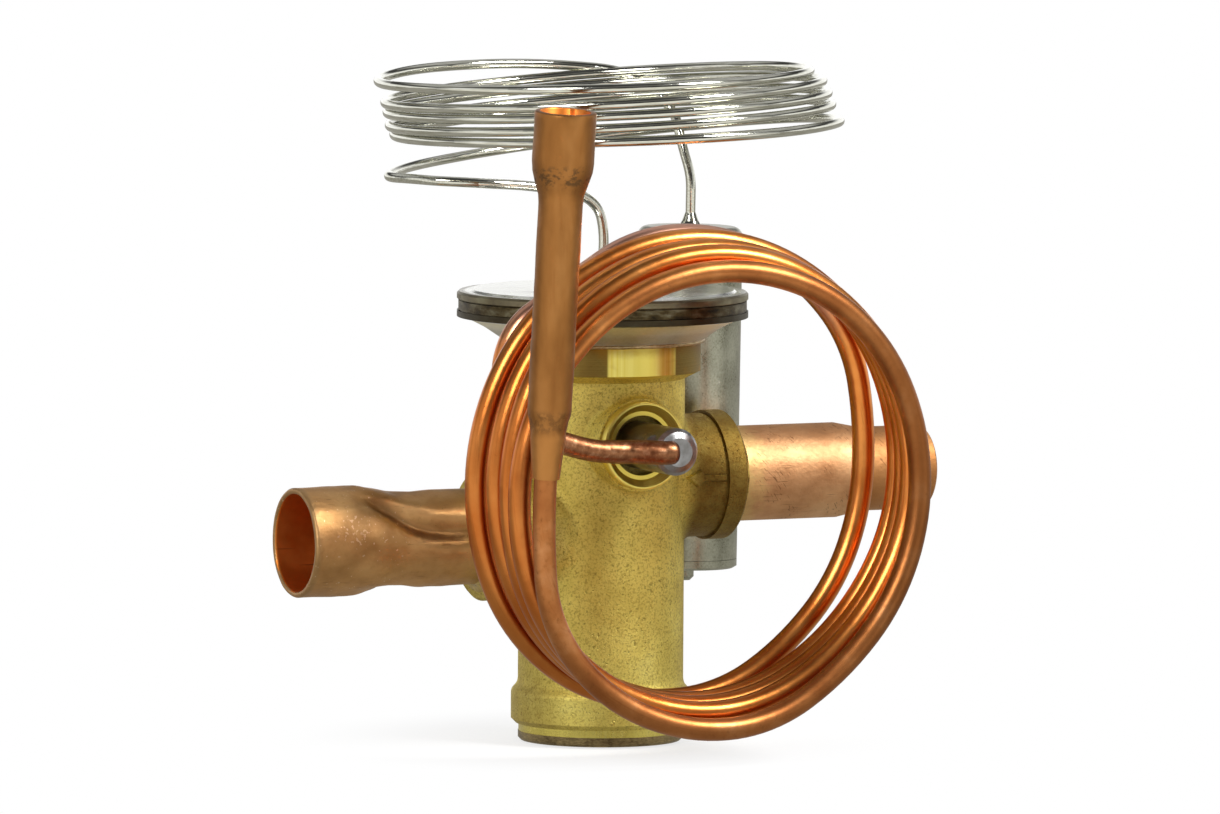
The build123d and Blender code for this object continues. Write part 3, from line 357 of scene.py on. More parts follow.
def bore_copper():
    """Annealed orange inside of a tube, with a few draw lines."""
    f, p, (x, y, z) = begin("bore_copper")
    streak = f.grain(f.join(x * 0.04, y, z), 1.4, detail=3.0)
    lines = f.level(streak, 0.60, 0.64) * f.below(streak, 0.66, 0.70)
    base = f.ramp(f.grain(p, 4.0), (0.35, (214, 122, 48)), (0.7, (236, 150, 72)))
    base = f.mix(lines * 0.5, base, (120, 52, 14))
    return f.surface(base, 0.46, f.relief(streak, 0.02))


def coil_copper():
    """The equalizer line: browned on its front turn, bright inside, dark red near the nipple."""
    f, p, (x, y, z) = begin("coil_copper")
    off_x, off_z = x - COIL_X, z - COIL_Z
    around = off_z.angle(off_x) * COIL_R
    reach = (off_x * off_x + off_z * off_z) ** 0.5
    streak = f.grain(f.join(around * 0.03, reach, y), 0.32, detail=3.0)
    fine = f.grain(f.join(around * 0.04, reach, y), 0.13, detail=2.0)
    cloud = f.grain(p, 6.0, detail=4.0)
    mottle = f.grain(p, 0.8, detail=4.0, rough=0.65)
    bright = f.ramp(cloud, (0.3, (210, 120, 52)), (0.7, (236, 156, 82)))
    # painted shade: the left strands of the bright turns are darkened
    bright = f.mix(f.below(x, -26.0, -18.0) * 0.5, bright, (158, 82, 32))
    brown = f.ramp(cloud, (0.3, (156, 94, 50)), (0.55, (178, 114, 64)), (0.75, (202, 142, 92)))
    brown = f.mix(f.level(mottle, 0.52, 0.72) * 0.30, brown, (120, 74, 40))
    front = f.below(y + (cloud - 0.5) * 1.6, -37.2, -35.6)
    brown = f.mix(f.level(x, 12.0, 28.0) * 0.6, brown, (118, 70, 34))
    bright = f.mix(f.below(z, 12.0, 22.0) * 0.45, bright, (140, 74, 28))
    base = f.mix(front, bright, brown)
    lead = f.below(reach, COIL_R - 8.0, COIL_R - 4.0)
    dull = f.ramp(mottle, (0.35, (128, 82, 54)), (0.55, (160, 110, 76)), (0.75, (200, 154, 118)))
    rose = f.mix(f.level(x, -26.0, -14.0), (206, 144, 126), dull)
    # painted shadow: the tip of the line is darkened where it meets the nipple
    tip = f.level(x, -1.1, -0.5)
    rose = f.mix(tip * 0.8, rose, (60, 42, 36))
    base = f.mix(lead, base, rose)
    first = f.level(y, -25.0, -23.6) * f.level(z, 52.0, 62.0)
    base = f.mix(first * 0.7, base, (214, 172, 160))
    base = f.mix(f.level(streak, 0.56, 0.74) * 0.28, base, (140, 74, 30))
    base = f.mix(f.level(mottle, 0.66, 0.76) * 0.35, base, (100, 56, 26))
    rough = 0.30 + front * 0.10 + lead * 0.08 + (mottle - 0.5) * 0.10
    normal = f.relief(streak * 0.7 + fine * 0.3, 0.010, f.relief(f.grain(p, 2.2, detail=3.0), 0.03))
    return f.surface(base, rough, normal)


def sleeve_copper():
    """Satin brown reducer, with scorch marks round the swell of its socket."""
    f, p, (_, _, z) = begin("sleeve_copper")
    streak = f.grain(p, 0.7, (1, 1, 16), detail=3.0)
    fine = f.grain(p, 0.2, (1, 1, 8), detail=3.0)
    cloud = f.grain(p, 5.0, (1, 1, 2.5), detail=3.0)
    mottle = f.grain(p, 0.8, detail=4.0, rough=0.65)
    base = f.ramp(cloud, (0.30, (134, 88, 44)), (0.55, (156, 106, 56)), (0.78, (178, 126, 72)))
    base = f.mix(f.level(streak, 0.5, 0.72) * 0.25, base, (134, 84, 42))
    base = f.mix(f.level(mottle, 0.58, 0.74) * 0.15, base, (196, 116, 60))
    swell = f.level(z, SWELL_Z - 1.6, SWELL_Z) * f.below(z, SWELL_Z + 1.2, SWELL_Z + 2.6)
    scorch = swell * f.level(f.grain(p, 1.1, (1, 1, 0.7), detail=4.0, rough=0.7), 0.48, 0.62)
    base = f.mix(scorch * 0.7, base, (84, 66, 46))
    crease = f.level(z, SLEEVE_FOOT_Z - 1.0, SLEEVE_FOOT_Z + 0.2)
    crease = crease * f.below(z, SLEEVE_FOOT_Z + 1.8, SLEEVE_FOOT_Z + 2.8)
    base = f.mix(crease * f.level(mottle, 0.44, 0.6) * 0.55, base, (112, 78, 46))
    warm = f.below(z, SLEEVE_FOOT_Z - 1.4, SLEEVE_FOOT_Z)
    base = f.mix(warm * 0.5, base, (196, 136, 74))
    rough = 0.40 + (mottle - 0.5) * 0.12 + scorch * 0.15
    normal = f.relief(streak * 0.6 + fine * 0.4, 0.014, f.relief(f.grain(p, 1.6, detail=3.0), 0.05))
    return f.surface(base, rough, normal)


def steel(name, light, dark, rough, size=0.5, stretch=(1, 1, 1), depth=0.012, spots=0.0):
    """The clouded, speckled skin that the steels share."""
    f = Finish(name)
    p = f.place()
    cloud = f.grain(p, 4.0, detail=4.0)
    speck = f.grain(p, size, stretch, detail=4.0, rough=0.6)
    base = f.ramp(cloud * 0.5 + speck * 0.5, (0.36, dark), (0.62, light))
    if spots:
        spotted = f.level(f.grain(p, 0.34, detail=2.0), 0.62, 0.72)
        base = f.mix(spotted * spots, base, (76, 76, 66))
    normal = f.relief(speck, depth)
    return f, p, base, rough + (cloud - 0.5) * 0.12 + (speck - 0.5) * 0.10, normal


def dull_steel():
    """Stainless sheet of the head: pale disc, brown-tinted edge, and a funnel tinted cream as a
    painted reflection of the floor.
    """
    f, p, base, rough, normal = steel("dull_steel", (250, 250, 246), (226, 226, 218), 0.24, 0.5)
    x, y, z = f.split(p)
    reach = (x * x + y * y) ** 0.5
    rings = f.grain(f.join(reach, 0.0, 0.0), 0.25, detail=3.0)
    upper = f.level(z, HEAD_TOP_Z - 0.05, HEAD_TOP_Z + 0.05)
    edge = f.level(reach, 17.9, 18.5) * (1 - upper)
    patch = f.grain(p, 2.6, (1, 1, 0.6), detail=4.0)
    tint = f.ramp(patch, (0.3, (78, 64, 36)), (0.5, (108, 96, 62)), (0.72, (136, 130, 100)))
    base = f.mix(edge * 0.93, base, tint)
    rust = f.level(reach, 17.4, 18.4) * upper * f.level(patch, 0.46, 0.62)
    base = f.mix(rust * 0.6, base, (136, 116, 74))
    under = f.below(z, HEAD_LOW_Z - 0.05, HEAD_LOW_Z + 0.05) * f.level(reach, 18.2, 18.8)
    base = f.mix(under * 0.8, base, (44, 36, 24))
    neck = f.below(z, 54.0, 55.4)
    base = f.mix(neck * 0.5, base, (150, 134, 96))
    # painted reflection of the floor: the funnel is tinted cream
    funnel = f.below(z, HEAD_LOW_Z, HEAD_LOW_Z + 0.1) * f.below(reach, 17.6, 18.2)
    base = f.mix(funnel * (1 - neck) * 0.6, base, (236, 226, 190))
    wave = f.relief(f.grain(p, 8.0, detail=1.0), 0.30, f.relief(rings, 0.010, normal))
    return f.surface(base, rough + edge * 0.16 + funnel * 0.24, wave)


def weld_tinted():
    """Blue-black to brown oxide on the welded edge."""
    f = Finish("weld_tinted")
    p = f.place()
    patch = f.grain(p, 2.2, (1, 1, 0.4), detail=4.0)
    fine = f.grain(p, 0.3, detail=4.0)
    base = f.ramp(patch, (0.32, (46, 40, 30)), (0.5, (82, 70, 46)), (0.72, (124, 118, 96)))
    base = f.mix(f.level(fine, 0.5, 0.7) * 0.4, base, (48, 38, 26))
    return f.surface(base, 0.36 + (fine - 0.5) * 0.2, f.relief(fine, 0.03))


def bright_steel():
    """Polished stainless capillary with fine lengthwise die lines."""
    f, _, (x, y, z) = begin("bright_steel")
    reach = (x * x + y * y) ** 0.5
    line = f.grain(f.join(y.angle(x) * 1.2, reach, z), 0.16, detail=3.0)
    base = f.ramp(line, (0.35, (188, 187, 172)), (0.65, (216, 216, 206)))
    return f.surface(base, 0.12 + (line - 0.5) * 0.08, f.relief(line, 0.004))


def bulb_steel():
    """Greyed, speckled bulb with a few bright scuffs."""
    f, p, base, rough, normal = steel(
        "bulb_steel", (182, 182, 164), (138, 138, 120), 0.30, 0.26, (1, 1, 1.2), 0.014, 0.4)
    scuff = f.level(f.grain(p, 1.5, (1, 1, 1.8), detail=3.0), 0.66, 0.72)
    base = f.mix(scuff * 0.5, base, (214, 214, 204))
    return f.surface(base, rough - scuff * 0.1, normal)


# the steels with nothing more to them, as steel() takes them: the disc that the valve stands on,
# the bead between the collar and the head, and the inner pieces
PLAIN_STEELS = {
    "dark_steel": ((164, 144, 100), (96, 80, 54), 0.42, 0.5, (1, 1, 0.4), 0.03),
    "weld_bead": ((206, 184, 142), (140, 116, 78), 0.40, 0.5, (1, 1, 0.5), 0.05),
    "plain_steel": ((206, 206, 206), (160, 160, 162), 0.28, 0.3),
}


def silver_braze():
    """Silver solder and nickel: grey, smooth, with a few flux pits."""
    f = Finish("silver_braze")
    p = f.place()
    cloud = f.grain(p, 1.8, detail=3.0)
    pits = f.level(f.grain(p, 0.5, detail=2.0), 0.69, 0.74)
    y = f.split(p)[1]
    base = f.ramp(cloud, (0.3, (120, 118, 116)), (0.55, (150, 150, 150)), (0.75, (186, 186, 188)))
    base = f.mix(f.level(y, -21.0, -19.0) * 0.6, base, (150, 128, 100))
    base = f.mix(pits * 0.8, base, (66, 60, 50))
    normal = f.relief(cloud * 0.6 - pits, 0.04)
    return f.surface(base, 0.34 + (cloud - 0.5) * 0.12, normal)


def brass_braze():
    """Yellow braze round the two stubs."""
    f = Finish("brass_braze")
    p = f.place()
    cloud = f.grain(p, 1.2, detail=4.0)
    base = f.ramp(cloud, (0.3, (140, 108, 46)), (0.7, (218, 188, 100)))
    return f.surface(base, 0.28 + (cloud - 0.5) * 0.2, f.relief(cloud, 0.08))


def white_plastic():
    """Off-white seals."""
    f = Finish("white_plastic")
    p = f.place()
    cloud = f.grain(p, 1.0, detail=3.0)
    base = f.ramp(cloud, (0.3, (226, 224, 214)), (0.7, (240, 238, 230)))
    return f.surface(base, 0.45 + (cloud - 0.5) * 0.1, f.relief(cloud, 0.01), 0.0)


FINISHES = {}
NODE_FINISHES = {
    "forged_brass": ["valve_body", "bottom_plug", "spring_seat", "spring_cup", "rod_guide"],
    "outlet_copper": ["outlet_tube"],
    "inlet_copper": ["inlet_tube"],
    "coil_copper": ["equalizer_tube"],
    "sleeve_copper": ["equalizer_reducer"],
    "dull_steel": ["head_housing", "head_cover"],
    "weld_tinted": ["head_ring"],
    "bright_steel": ["capillary_tube", "diaphragm", "head_ferrule", "bulb_ferrule"],
    "bulb_steel": ["bulb_shell", "bulb_end_cap", "bulb_nub"],
    "dark_steel": ["base_disc"],
    "plain_steel": [
        "thrust_pad", "push_rod", "seal_washer", "orifice_seat", "valve_cone", "superheat_spring"],
    "silver_braze": ["equalizer_nipple", "equalizer_braze"],
    "brass_braze": ["inlet_braze", "outlet_braze"],
    "white_plastic": ["rod_seal", "plug_seal"],
}
MAKERS = (
    outlet_copper, inlet_copper, bore_copper, coil_copper, sleeve_copper, dull_steel,
    weld_tinted, bright_steel, bulb_steel, silver_braze, brass_braze, white_plastic,
)


# ---------------------------------------------------------------- modelling helpers
def start(kind, **options):
    """Adds a primitive with nothing else selected and opens it for editing, all of it selected."""
    bpy.ops.object.select_all(action="DESELECT")
    getattr(bpy.ops.mesh, f"primitive_{kind}_add")(**options)
    bpy.ops.object.mode_set(mode="EDIT")
    bpy.ops.mesh.select_all(action="SELECT")
    return bpy.context.object


def spun(outline, steps=96):
    """A closed outline of (radius, height) points in millimetres, spun about Z."""
    obj = start("plane", size=MM)
    bpy.ops.mesh.merge(type="CENTER")
    here = Vector((0, 0, 0))
    for index, (radius, height) in enumerate(list(outline) + [outline[0]]):
        there = Vector((radius, 0, height)) * MM
        if index == 0:
            bpy.ops.transform.translate(value=there - here)
        else:
            bpy.ops.mesh.extrude_region_move(TRANSFORM_OT_translate={"value": there - here})
        here = there
    bpy.ops.mesh.select_all(action="SELECT")
    bpy.ops.mesh.remove_doubles(threshold=1e-7)
    bpy.ops.mesh.select_all(action="SELECT")
    bpy.ops.mesh.spin(steps=steps, angle=2 * math.pi, center=(0, 0, 0), axis=(0, 0, 1))
    bpy.ops.mesh.select_all(action="SELECT")
    bpy.ops.mesh.remove_doubles(threshold=1e-6)
    bpy.ops.mesh.normals_make_consistent(inside=False)
    bpy.ops.object.mode_set(mode="OBJECT")
    return obj


def stand(origin, direction):
    """Moves a piece made round Z to an origin in millimetres, with Z along a direction."""
    turn = Vector((0, 0, 1)).rotation_difference(Vector(direction).normalized())
    return Matrix.Translation(Vector(origin) * MM) @ turn.to_matrix().to_4x4()


def shift(obj, rule):
    """Moves every point of a mesh by a rule that works in millimetres."""
    for vertex in obj.data.vertices:
        vertex.co = Vector(rule(vertex.co / MM)) * MM


def wobble(point, size, amount):
    """Smooth uneven offset of about amount, in millimetres."""
    return amount * noise.noise(point / size)


def settle(obj, name, finish, replaces=(), angle=35):
    """Names, smooths, finishes and hands over a piece."""
    bpy.ops.object.select_all(action="DESELECT")
    obj.select_set(True)
    bpy.context.view_layer.objects.active = obj
    obj.matrix_world = Matrix.Identity(4)
    bpy.ops.object.shade_smooth_by_angle(angle=math.radians(angle))
    obj.name = name
    obj.data.name = name
    obj.data.materials.clear()
    obj.data.materials.append(FINISHES[finish])
    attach(obj, VALVE_BODY)
    if replaces:
        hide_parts(*replaces)
    return obj


def line_bore(obj, origin, along):
    """Gives the faces that look at a tube's axis the copper of a bore."""
    obj.data.materials.append(FINISHES["bore_copper"])
    for face in obj.data.polygons:
        centre = face.center / MM
        on_axis = origin + along * (centre - origin).dot(along)
        if face.normal.dot(centre - on_axis) < 0 and abs(face.normal.dot(along)) < 0.7:
            face.material_index = 1


def ease(share):
    """A share held between 0 and 1 that starts and ends gently."""
    share = min(max(share, 0.0), 1.0)
    return share * share * (3 - 2 * share)


# ---------------------------------------------------------------- settings
def paint(name, description, default):
    """A setting that holds a paint chip's values."""
    return bpy.props.IntVectorProperty(
        name=name, description=description, default=default, min=0, max=255)


class FinishSettings(bpy.types.PropertyGroup):
    """Colours of the forging"""
    brass: paint("Brass", "Body of the forging, as 0-255 values", (236, 219, 120))
    brass_light: paint("Light brass", "Where the forging is rubbed bright", (246, 233, 140))
    brass_dark: paint("Dark brass", "Where the forging is tarnished", (216, 196, 100))


class TubeSettings(bpy.types.PropertyGroup):
    """How the copper was worked"""
    valley_depth: bpy.props.FloatProperty(
        name="Crimp depth", description="How deep the crimp is pressed into the outlet tube, in mm",
        default=1.4, min=0.0, max=2.0)
    uneven: bpy.props.FloatProperty(
        name="Unevenness", description="How far hand forming moved the copper, in mm",
        default=0.10, min=0.0, max=0.5)


class StageSettings(bpy.types.PropertyGroup):
    """Camera and lamps"""
    azimuth: bpy.props.FloatProperty(
        name="Azimuth", description="Heading the camera stands at, left of the front",
        default=math.radians(25.5), subtype="ANGLE")
    elevation: bpy.props.FloatProperty(
        name="Elevation", description="Height angle of the camera",
        default=math.radians(4.85), subtype="ANGLE")
    roll: bpy.props.FloatProperty(
        name="Roll", description="Turn of the picture", default=math.radians(0.33), subtype="ANGLE")
    distance: bpy.props.FloatProperty(
        name="Distance", description="From the aim to the camera", default=1.842, unit="LENGTH")
    lens: bpy.props.FloatProperty(
        name="Lens", description="Focal length, in mm on a 36 mm sensor", default=413.1)
    lamps: bpy.props.FloatProperty(
        name="Lamps", description="Strength of the softboxes", default=1.0, min=0.0)


# ---------------------------------------------------------------- operators
class VALVE_OT_finishes(bpy.types.Operator):
    """Makes every finish and puts it on the pieces of the frame"""
    bl_idname = "valve.finishes"
    bl_label = "Finishes"

    def execute(self, context):
        FINISHES["forged_brass"] = forged_brass(context.scene.valve_finish)
        for maker in MAKERS:
            FINISHES[maker.__name__] = maker()
        for name, recipe in PLAIN_STEELS.items():
            f, _, base, rough, normal = steel(name, *recipe)
            FINISHES[name] = f.surface(base, rough, normal)
        for finish, names in NODE_FINISHES.items():
            for name in names:
                materials = NODES[name].data.materials
                materials.clear()
                materials.append(FINISHES[finish])
        return {"FINISHED"}


# places on the outlet tube, in millimetres from the axis of the valve
OUTLET = {"start": 13.0, "waist": 29.0, "neck": 30.0, "swell": 36.4, "bore": 34.7, "end": 44.3}
STUB_R, STUB_BORE_R = 6.3, 5.3
SOCKET_OUT_R, SOCKET_R = 7.18, 6.4
# the crimp's valley as (distance along X, heading from the top towards the front, share of depth)
VALLEY = (
    (-37.6, 29, 0.1), (-35.8, 35, 0.5), (-33.8, 43, 0.9), (-31.5, 54, 1.0), (-29.4, 66, 1.0),
    (-27.4, 73, 0.95), (-24.8, 77, 0.85), (-21.8, 77, 0.6), (-18.5, 77, 0.2),
)
VALLEY_WIDTH = 1.45
VALLEY_STEP = 0.45
THIRD = 2 * math.pi / 3
CRIMPS = ((0.0, 1.0), (THIRD, 0.6), (-THIRD, 0.6))  # turn of each crimp, share of its depth
CRIMPED_X = (-40.5, -15.0)
RIDGE = (2.2, 2.6, 1.8, 0.30)  # ridge beside a valley: along X, round, width, height


def valley_points():
    """The valley as even points on the unrolled tube: (along X, round it, share of depth)."""
    points = []
    for (xa, ha, da), (xb, hb, db) in zip(VALLEY, VALLEY[1:]):
        ya, yb = math.radians(ha) * STUB_R, math.radians(hb) * STUB_R
        parts = max(1, round(math.hypot(xb - xa, yb - ya) / VALLEY_STEP))
        for i in range(parts):
            t = i / parts
            points.append((xa + (xb - xa) * t, ya + (yb - ya) * t, da + (db - da) * t))
    return points


def pressed(points, x, along, width):
    """How deep a round-nosed tool run along the points presses at a place, from 0 to 1."""
    total = sum(
        share * math.exp(-((x - px) ** 2 + (along - py) ** 2) / width ** 2)
        for px, py, share in points)
    return total * VALLEY_STEP / (width * math.sqrt(math.pi))


def outlet_radius(x, inner):
    """Radius of the outlet tube at a distance from the valve's axis, before it is crimped."""
    if inner:
        return STUB_BORE_R + (SOCKET_R - STUB_BORE_R) * ease((x - OUTLET["bore"] + 1.4) / 1.2)
    waist = 0.12 * math.exp(-((x - OUTLET["waist"]) / 2.0) ** 2)
    swelling = ease((x - OUTLET["neck"]) / (OUTLET["swell"] - OUTLET["neck"]))
    return STUB_R - waist + (SOCKET_OUT_R - STUB_R) * swelling


class VALVE_OT_outlet(bpy.types.Operator):
    """Turns the outlet stub, then crimps and hammers it"""
    bl_idname = "valve.outlet"
    bl_label = "Outlet stub"

    def execute(self, context):
        tubes = context.scene.valve_tubes
        first, last = OUTLET["start"], OUTLET["end"]
        count = 70
        steps = [first + (last - first) * i / count for i in range(count + 1)]
        outer = [(outlet_radius(x, False), x) for x in steps[:-1]]
        outer += [
            (SOCKET_OUT_R, last - 0.22), (SOCKET_OUT_R - 0.12, last - 0.05),
            (SOCKET_OUT_R - 0.3, last)]
        inner = [(SOCKET_R + 0.12, last), (SOCKET_R, last - 0.12)]
        inner += [(outlet_radius(x, True), x) for x in reversed(steps[:-1])]
        obj = spun(outer + inner, 128)
        axis_z = middle("outlet_braze", 2)
        obj.data.transform(stand((0, 0, axis_z), (-1, 0, 0)))
        valley = valley_points()

        def crimp(point):
            x, y, z = point
            up = z - axis_z
            radius, heading = math.hypot(y, up), math.atan2(-y, up)
            push = 0.0
            if CRIMPED_X[0] < x < CRIMPED_X[1]:
                off_x, off_round, width, height = RIDGE
                for turn, weight in CRIMPS:
                    around = ((heading - turn + math.pi) % (2 * math.pi) - math.pi) * STUB_R
                    push += weight * tubes.valley_depth * pressed(valley, x, around, VALLEY_WIDTH)
                    push -= weight * height * pressed(valley, x + off_x, around + off_round, width)
            worked = ease((-20.0 - x) / 6.0) * (1 - 0.55 * ease((-37.5 - x) / 5.0))
            push += worked * wobble(point, 2.6, tubes.uneven * 1.2)
            push += worked * wobble(point, 1.1, tubes.uneven * 0.35)
            if radius > SOCKET_OUT_R:
                push = max(push, radius - SOCKET_OUT_R)
            scale = (radius - push) / radius
            return (x, y * scale, axis_z + up * scale)

        shift(obj, crimp)
        settle(obj, "outlet_stub", "outlet_copper", ("outlet_tube",), 50)
        line_bore(obj, Vector((0, 0, axis_z)), Vector((-1, 0, 0)))
        return {"FINISHED"}


# the reducer, in millimetres: its length, and the depth of the socket at its mouth
SLEEVE_LENGTH, SLEEVE_SOCKET = 47.58, 6.6
SLEEVE_R, SLEEVE_NECK_R, SLEEVE_FOOT_R = 4.0, 2.85, 2.1  # outside, from the mouth down
SLEEVE_SOCKET_R, SLEEVE_BORE_R = 3.2, 2.05
LINE_R = 1.56  # outside of the equalizer line
CREASE_AT = 6.6  # height of the crease above the reducer's foot


class VALVE_OT_reducer(bpy.types.Operator):
    """Spins the reducer of the equalizer line along its leaning axis"""
    bl_idname = "valve.reducer"
    bl_label = "Reducer"

    def execute(self, context):
        tubes = context.scene.valve_tubes
        mount = MOUNTS["equalizer_socket"]
        lean = Vector(mount["axis"]).normalized()
        mouth = Vector(mount["pos_m"]) / MM + lean * SLEEVE_SOCKET / 2
        length, line, foot = SLEEVE_LENGTH, LINE_R, SLEEVE_FOOT_R
        wide, neck = SLEEVE_R, SLEEVE_NECK_R
        key = [  # (height above its foot, radius)
            (0.0, line + 0.25), (1.2, line + 0.36), (3.2, foot), (5.2, foot + 0.22),
            (6.8, foot + 0.34), (7.5, neck - 0.32), (8.2, neck - 0.10), (9.2, neck),
            (14.0, neck + 0.02), (22.0, neck - 0.02), (30.0, neck + 0.01), (35.6, neck),
            (36.8, neck + 0.10), (38.4, neck + 0.62), (39.8, wide - 0.12), (41.0, wide),
            (44.0, wide - 0.03), (length - 0.35, wide), (length - 0.12, wide - 0.04),
            (length, wide - 0.2),
        ]
        outer = []
        for (z0, r0), (z1, r1) in zip(key, key[1:]):
            parts = max(1, round((z1 - z0) / 0.5))
            outer += [
                (r0 + (r1 - r0) * i / parts, z0 + (z1 - z0) * i / parts) for i in range(parts)]
        outer.append((key[-1][1], key[-1][0]))
        socket, stop = SLEEVE_SOCKET_R, length - SLEEVE_SOCKET
        inner = [
            (socket + 0.1, length), (socket, length - 0.12), (socket, stop),
            (socket - 0.3, stop - 0.5), (SLEEVE_BORE_R, 36.0), (SLEEVE_BORE_R, 8.9),
            (line, 6.3), (line, 0.0),
        ]
        obj = spun(outer + inner)

        def formed(point):
            radius = math.hypot(point.x, point.y)
            if radius < 2.2 and point.z > 8:
                return point
            push = wobble(point, 3.0, tubes.uneven) + wobble(point, 1.2, tubes.uneven * 0.3)
            push *= ease(point.z / 3.0)
            wave = 0.9 * math.sin(math.atan2(point.y, point.x) * 2)
            crease = 0.16 * math.exp(-((point.z - CREASE_AT - wave) / 0.35) ** 2)
            scale = (radius + push * 0.6 - crease * (radius > 2.3)) / radius
            return Vector((point.x * scale, point.y * scale, point.z))

        shift(obj, formed)
        obj.data.transform(stand(mouth - lean * length, lean))
        settle(obj, "reducer_sleeve", "sleeve_copper", ("equalizer_reducer",), 40)
        line_bore(obj, mouth, lean)
        return {"FINISHED"}


def bead(name, major, minor, height, finish, amount, size=0.9):
    """A welded bead: a level ring with an uneven skin round the valve's axis."""
    obj = start(
        "torus", major_radius=major * MM, minor_radius=minor * MM,
        major_segments=160, minor_segments=14)
    bpy.ops.mesh.subdivide(number_cuts=1)
    bpy.ops.object.mode_set(mode="OBJECT")
    origin = Vector((0, 0, height))

    def uneven(point):
        core = Vector((point.x, point.y, 0)) * (major / math.hypot(point.x, point.y))
        swell = wobble(point + origin, size, amount) + wobble(point, size / 2, amount / 2)
        return core + (point - core) * (1 + swell)

    shift(obj, uneven)
    obj.data.transform(Matrix.Translation(origin * MM))
    return settle(obj, name, finish, angle=60)


# the weld beads, in millimetres
RIM_WELD_IN = 0.24  # how far the rim's beads lie inside its edge
RIM_WELD_R, NECK_WELD_R = 0.10, 0.30
NECK_R = 13.20


class VALVE_OT_welds(bpy.types.Operator):
    """Lays the weld beads round the head and its neck"""
    bl_idname = "valve.welds"
    bl_label = "Head welds"

    def execute(self, context):
        rim = corner("head_ring", 0, True) - RIM_WELD_IN
        low = corner("head_ring", 2, False)
        high = corner("head_cover", 2, False) - 0.05
        neck = corner("head_housing", 2, False) + 0.25
        for name, height in (("rim_weld_low", low), ("rim_weld_high", high)):
            bead(name, rim, RIM_WELD_R, height, "weld_tinted", 0.35)
        bead("neck_weld", NECK_R, NECK_WELD_R, neck, "weld_bead", 0.20, 1.4)
        return {"FINISHED"}


# the end of the equalizer line, laid over the nipple, in millimetres
LEAD_Y = -20.3
LEAD_OVER = 3.0  # how far its tip is pulled forward
LEAD_BEND_R = 37.9  # bend of the line away from the nipple


class VALVE_OT_brazing(bpy.types.Operator):
    """Lays the end of the equalizer line over its nipple and solders it"""
    bl_idname = "valve.brazing"
    bl_label = "Brazing"

    def execute(self, context):
        # outlines as (radius, distance from the valve's axis)
        lead = [(0.0, 0.2), (0.9, 0.24), (1.3, 0.4), (1.5, 0.7), (LINE_R, 1.2)]
        lead += [(LINE_R, 2.0 + i * 0.4) for i in range(17)]
        lead += [(1.50, 8.9), (1.42, 9.5), (0.0, 9.5)]
        collar = [
            (1.40, 2.2), (2.3, 2.2), (2.2, 2.8), (1.95, 3.2), (1.70, 3.5), (1.58, 3.9), (1.40, 4.0)]

        def laid(point):
            """Pulls the front of the tip over the nipple and bends the line up."""
            out = -point.x
            forward = LEAD_OVER * ease((6.4 - out) / 4.8) if point.y < LEAD_Y - 0.02 else 0.0
            lift = max(out - 5.2, 0.0) ** 2 / (2 * LEAD_BEND_R)
            return (point.x, point.y - forward, point.z + lift)

        def puddle(point):
            """Lets the solder run unevenly round the line."""
            reach = math.hypot(point.x, point.y)
            if reach < LINE_R:
                return point
            push = wobble(point, 1.0, 0.30) + wobble(point, 0.4, 0.08)
            scale = (reach + push * ease((reach - LINE_R) / 0.5)) / reach
            return Vector((point.x * scale, point.y * scale, point.z + push * 0.4))

        for name, outline, finish, slot, gone in (
                ("lead_end", lead, "coil_copper", "copper_coil", ()),
                ("lead_braze", collar, "silver_braze", "braze_silver", ("equalizer_braze",))):
            obj = spun(outline, 64)
            if gone:
                shift(obj, puddle)
            obj.data.transform(stand((0, LEAD_Y, middle("equalizer_nipple", 2)), (-1, 0, 0)))
            if not gone:
                shift(obj, laid)
            settle(obj, name, finish, gone, 60)
        return {"FINISHED"}


# the flow arrow's outline as (distance along X, heading from the top towards the front)
ARROW = (
    (8.4, 87.0), (10.6, 80.0), (10.9, 84.5), (14.2, 84.5), (14.2, 91.0), (10.9, 91.0), (10.1, 96.0))
ARROW_SIGHT = Vector((-0.43, -0.90, 0.08)).normalized()  # from the boss, forward and to the left
ARROW_EDGE, ARROW_HEIGHT, ARROW_SUNK = 0.4, 0.75, 0.06
SIGHT_FROM = 12  # how far out the sight line starts


def inside(point, outline):
    """How far inside a closed outline a point lies, negative outside."""
    nearest, within = 1e9, False
    for start_at, end_at in zip(outline, outline[1:] + outline[:1]):
        edge, arm = end_at - start_at, point - start_at
        share = min(max(arm.dot(edge) / edge.length_squared, 0.0), 1.0)
        nearest = min(nearest, (arm - edge * share).length)
        if (start_at.y > point.y) != (end_at.y > point.y):
            within ^= point.x < start_at.x + edge.x * (point.y - start_at.y) / edge.y
    return nearest if within else -nearest


